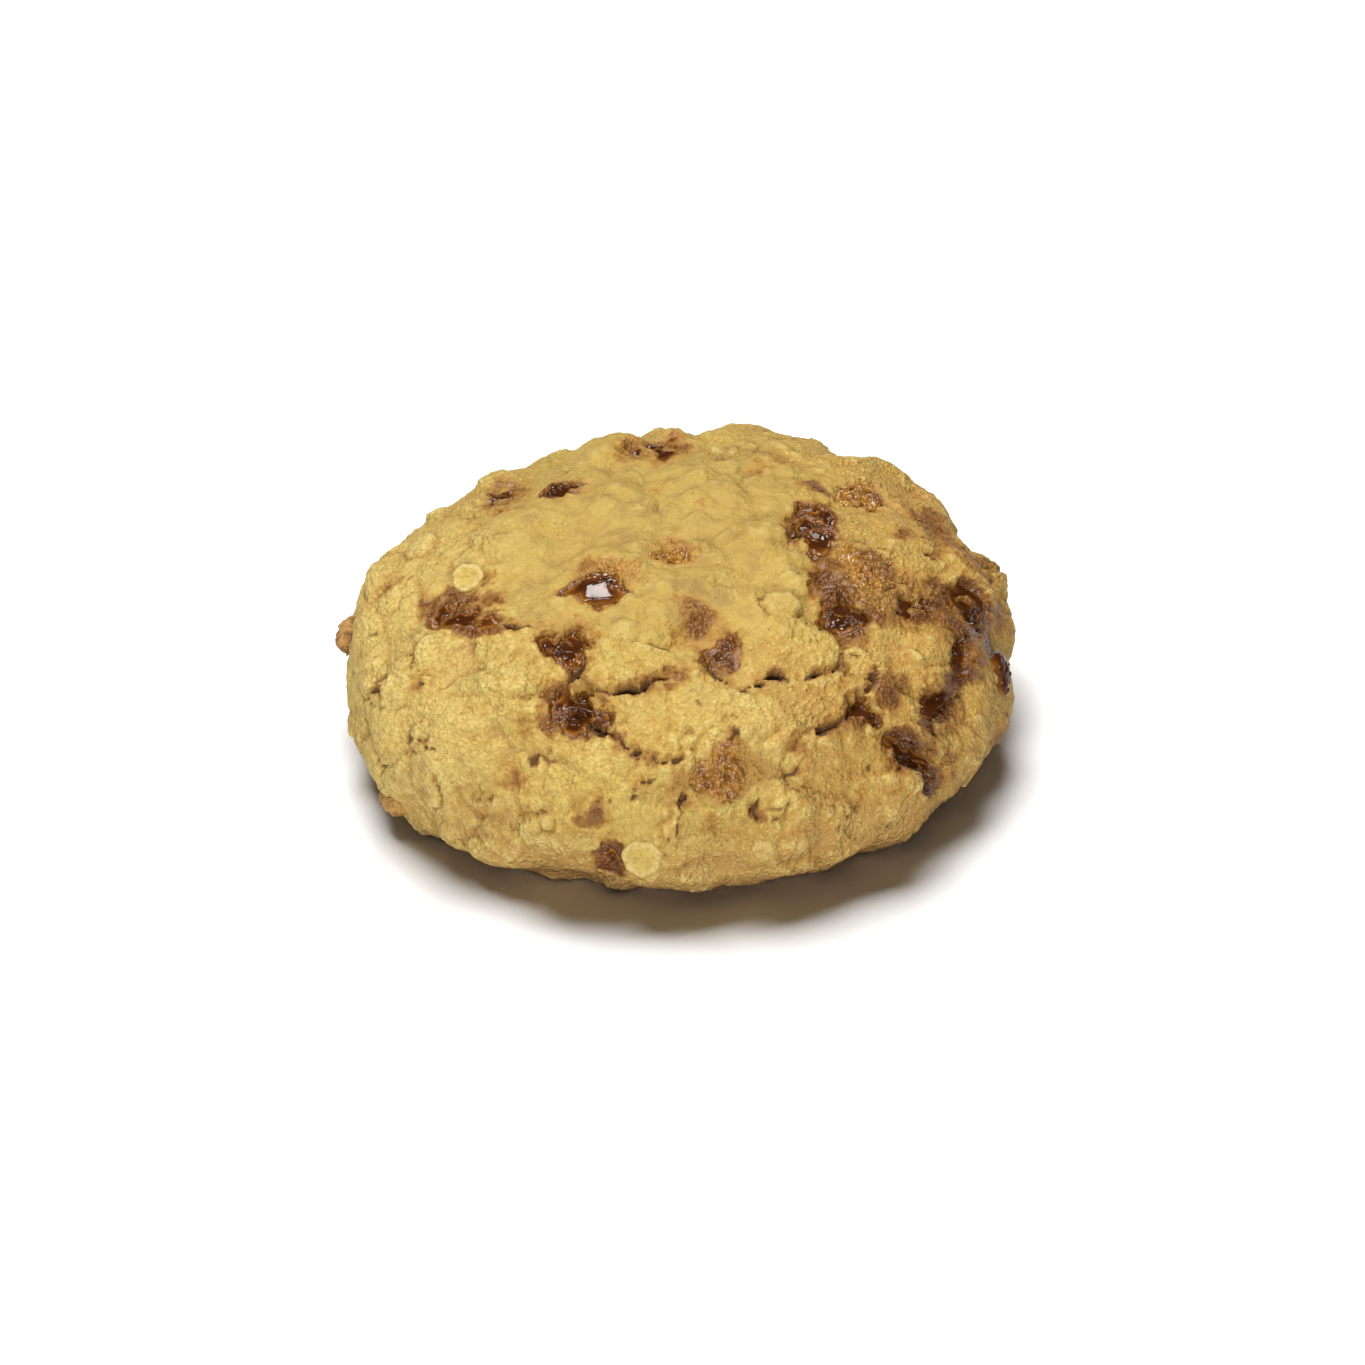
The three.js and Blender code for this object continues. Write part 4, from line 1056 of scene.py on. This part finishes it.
dried = Finish("dried_caramel")
streaks = dried.noise(1.3, 3, 18)
colour = dried.layers(DRIED_AMBER, [
    (DRIED_BROWN, streaks.ease(0.4, 0.62)),
    (DRIED_PALE, dried.noise(0.6, 3, 19).ease(0.5, 0.7) * 0.5),
])
dried.set(
    Base_Color=colour,
    Roughness=0.42 + streaks * 0.2,
    Specular_IOR_Level=0.35,
    Normal=dried.bump(dried.noise(0.5, 3, 20) * 0.4),
)
for name in PITS:
    if name.startswith("caramel"):
        pool = pool_piece(name, caramel_top)
        pool.data.materials.append((dried if name.endswith("_tab") else pooled).material)


# The toffee is caramel that foamed up through the crust and set there in shallow golden patches,
# full of small broken bubbles.
TOFFEE_BUBBLES, TOFFEE_BUBBLE_SIZES, TOFFEE_HOLE_SIZES, TOFFEE_SPREAD = 5, (0.25, 0.6), (0.3, 0.6), 3
BUBBLES_TO_A_HOLE, HOLES_WITHIN, TOFFEE_DEEP = 10, 0.8, 3


def toffee_top(name, x, y, thick, random):
    length, width = half_spans(x, y)
    count = int(TOFFEE_BUBBLES * length * width)
    within = HOLES_WITHIN * length, HOLES_WITHIN * width
    swell = ripples(x, y, (0.16, 1.6, 53), (0.08, 0.6, 54))
    bubbles = domes(x, y, random, count, (length, width), TOFFEE_BUBBLE_SIZES, TOFFEE_SPREAD)
    holes = domes(x, y, random, count // BUBBLES_TO_A_HOLE, within, TOFFEE_HOLE_SIZES, TOFFEE_SPREAD)
    return (swell + 0.6 * bubbles - 1.2 * holes) * blend(0.02, 0.25, thick)


GOLD = [
    (0.0, (0.4, 0.19, 0.026)),
    (0.25, (0.31, 0.13, 0.018)),
    (0.55, (0.2, 0.076, 0.014)),
    (1.0, (0.1, 0.036, 0.009)),
]
FROTH_PALE_AND_PAINTED_LIGHT, FROTH_PAINTED_SHADE = (0.5, 0.3, 0.06), (0.15, 0.054, 0.011)

finish = Finish("golden_toffee")
swirl = finish.noise(1.6, 3, 11)
froth = finish.cells(0.5)
golds = finish.ramp(finish.mark("thick") / TOFFEE_DEEP + (swirl - 0.5) * 1.6 + 0.04, GOLD)
colour = finish.layers(golds, [
    # Paler foam with painted light on the tops of the bubbles, and painted shade between them.
    (FROTH_PALE_AND_PAINTED_LIGHT, froth.ease(0.4, 0.12) * 0.5),
    (FROTH_PAINTED_SHADE, froth.ease(0.45, 0.8) * 0.45),
])
finish.set(
    Base_Color=colour,
    Roughness=0.12 + swirl.ease(0.4, 0.7) * 0.14,
    Specular_IOR_Level=0.38,
    Coat_Weight=finish.mark("gloss") * 0.85,
    Coat_Roughness=0.06,
    Normal=finish.bump(froth * -0.3 + finish.noise(0.5, 2, 12) * 0.12),
)
for name in PITS:
    if name.startswith("toffee"):
        toffee = pool_piece(name, toffee_top)
        toffee.data.materials.append(finish.material)


# The rolled oats are whole flakes that lie in the face of the crust, half sunk, each an oval with
# a round edge, a dished face and a crease down its middle. They are baked into the dough. The
# section of a flake is a share of its radius and of its thickness at each ring of points.
OAT_THICK, OAT_SIDES, OAT_RINGS = 1, 40, 14
OAT_UNDER, OAT_EDGE, OAT_EDGE_ROUND = [(0.02, -0.5), (0.5, -0.5)], 0.8, 0.2
OAT_FACE = [(0.62, 0.44), (0.42, 0.32), (0.22, 0.24), (0.02, 0.2)]
OAT_CREASE, OAT_CREASE_WIDTH, OAT_ROUGH = 0.16, 0.25, 0.1
OAT_SHEET, OAT_SPOT, OAT_SHEET_EDGE = 0.96, 0.48, 0.02

edge_turn = np.linspace(-math.pi / 2, math.pi / 2, OAT_RINGS)
edge_section = np.stack([OAT_EDGE + OAT_EDGE_ROUND * np.cos(edge_turn), 0.5 * np.sin(edge_turn)], axis=1)
oat_section = np.concatenate([OAT_UNDER, edge_section, OAT_FACE])
rows = len(oat_section)
share, thickness = oat_section.repeat(OAT_SIDES, axis=0).T
turn = np.tile(np.linspace(0, 2 * math.pi, OAT_SIDES, endpoint=False), rows)
columns = math.ceil(math.sqrt(len(OATS)))
cell = OAT_SHEET / columns
oat_points, oat_faces, oat_sheet = [], [], []
for number, (bearing, tape, radius, proud, tip) in enumerate(OATS):
    centre, out = crust_point(bearing, tape), crust_normal(bearing, tape)
    centre = centre + out * (oat_rise[number] - OAT_THICK / 2)
    edge = 1 + 0.04 * np.sin(3 * turn + number) + 0.03 * np.sin(7 * turn + 2 * number)
    x = radius * share * edge * np.cos(turn)
    y = radius * OAT_OVAL * share * edge * np.sin(turn)
    height = thickness * OAT_THICK
    crease = OAT_CREASE * bell(y, OAT_CREASE_WIDTH) * blend(0.85, 0.5, share)
    rough = OAT_ROUGH * grain(np.stack([x + 20 * number, y, height], axis=1), 0.8, 61)
    height = np.where(height > 0.1, height - crease + rough, height)
    upright = Vector((0, 0, 1)).rotation_difference(Vector(oat_facing[number])).to_matrix()
    oat_points.append(np.stack([x, y, height], axis=1) @ np.array(upright).T + centre)
    first = number * len(turn)
    made = [corners[::-1] for corners in disc_faces(OAT_SIDES, rows, first)]
    made.append(list(range(first, first + OAT_SIDES))[::-1])
    made.append(list(range(first + len(turn) - OAT_SIDES, first + len(turn))))
    spot = np.array([number % columns + 0.5, number // columns + 0.5]) * cell + OAT_SHEET_EDGE
    place = disc_place(spot, OAT_SPOT * cell * np.linspace(1, 0.02, rows).repeat(OAT_SIDES), turn)
    oat_sheet += [place[corner - first] for corners in made for corner in corners]
    oat_faces += made

oat_marks = {"tone": np.tile(share, len(OATS))}
flakes = make_piece("rolled_oats", np.concatenate(oat_points), oat_faces, np.array(oat_sheet), oat_marks)

OAT_YELLOW, OAT_RIM = (0.49, 0.345, 0.08), (0.54, 0.41, 0.14)
OAT_BROWN, OAT_PALE = (0.36, 0.2, 0.045), (0.58, 0.44, 0.15)
finish = Finish("baked_oat")
fibre = finish.noise(0.5, 4, 13)
colour = finish.layers(OAT_YELLOW, [
    (OAT_RIM, finish.mark("tone").ease(0.5, 0.85)),
    (OAT_BROWN, fibre.ease(0.42, 0.7) * 0.7),
    (OAT_PALE, finish.noise(1.4, 2, 14).ease(0.5, 0.75) * 0.4),
])
finish.set(
    Base_Color=colour,
    Roughness=0.6 + fibre * 0.2,
    Specular_IOR_Level=0.35,
    Normal=finish.bump(fibre * 0.3 + finish.noise(0.3, 2, 15) * 0.12),
)
flakes.data.materials.append(finish.material)


# The setting is a white sheet under soft studio light, with a large lamp behind and above the
# cookie and a broad fill from the front that is kept off the sheet, so that the shadow stays dark
# under the front edge. It is seen from the front and a third of the way up.
SHEET_RADIUS, SHEET_SIDES = 5, 96
SHEET_WHITE, SHEET_BRIGHT = (0.95, 0.95, 0.95), (0.97, 0.97, 0.97)
VIEW_RISE, VIEW_AWAY, VIEW_AIM = math.radians(36.5), 0.7, 0.012
VIEW_LENS, VIEW_SENSOR, VIEW_SHIFT, VIEW_NEAREST = 144.2, 36, -0.0236, 0.01
LAMPS = {
    "key": ((-0.13, 0.31, 1), (0.65, 0.5), 16),
    "fill": ((-0.06, -1.12, 0.46), (1, 0.25), 15.2),
}
LAMP_AIM, AROUND_LIGHT = (0, 0, 0.02), 0.05

bpy.ops.mesh.primitive_circle_add(vertices=SHEET_SIDES, radius=SHEET_RADIUS, fill_type="NGON")
floor = bpy.context.object
floor.name = "white_sheet"
finish = Finish("white_paper")
finish.set(
    Base_Color=finish.layers(SHEET_WHITE, [(SHEET_BRIGHT, finish.noise(30, 2, 16))]),
    Roughness=0.8,
    Specular_IOR_Level=0.1,
)
floor.data.materials.append(finish.material)

camera = bpy.data.objects.new("camera", bpy.data.cameras.new("camera"))
camera.location = (0, -VIEW_AWAY * math.cos(VIEW_RISE), VIEW_AIM + VIEW_AWAY * math.sin(VIEW_RISE))
camera.rotation_euler = (math.pi / 2 - VIEW_RISE, 0, 0)
camera.data.lens = VIEW_LENS
camera.data.sensor_width = VIEW_SENSOR
camera.data.shift_y = VIEW_SHIFT
camera.data.clip_start = VIEW_NEAREST
bpy.context.scene.collection.objects.link(camera)
bpy.context.scene.camera = camera

for name, (place, size, power) in LAMPS.items():
    lamp = bpy.data.objects.new(name, bpy.data.lights.new(name, "AREA"))
    lamp.data.shape = "RECTANGLE"
    lamp.data.size, lamp.data.size_y = size
    lamp.data.energy = power
    lamp.location = place
    lamp.rotation_euler = (Vector(LAMP_AIM) - Vector(place)).to_track_quat("-Z", "Y").to_euler()
    bpy.context.scene.collection.objects.link(lamp)
unlit = bpy.data.collections.new("kept_from_the_fill")
unlit.objects.link(floor)
unlit.collection_objects[0].light_linking.link_state = "EXCLUDE"
bpy.data.objects["fill"].light_linking.receiver_collection = unlit

world = bpy.data.worlds.new("studio")
bpy.context.scene.world = world
world.use_nodes = True
background = world.node_tree.nodes["Background"]
background.inputs["Color"].default_value = (1, 1, 1, 1)
background.inputs["Strength"].default_value = AROUND_LIGHT
bpy.context.scene.view_settings.view_transform = "Standard"
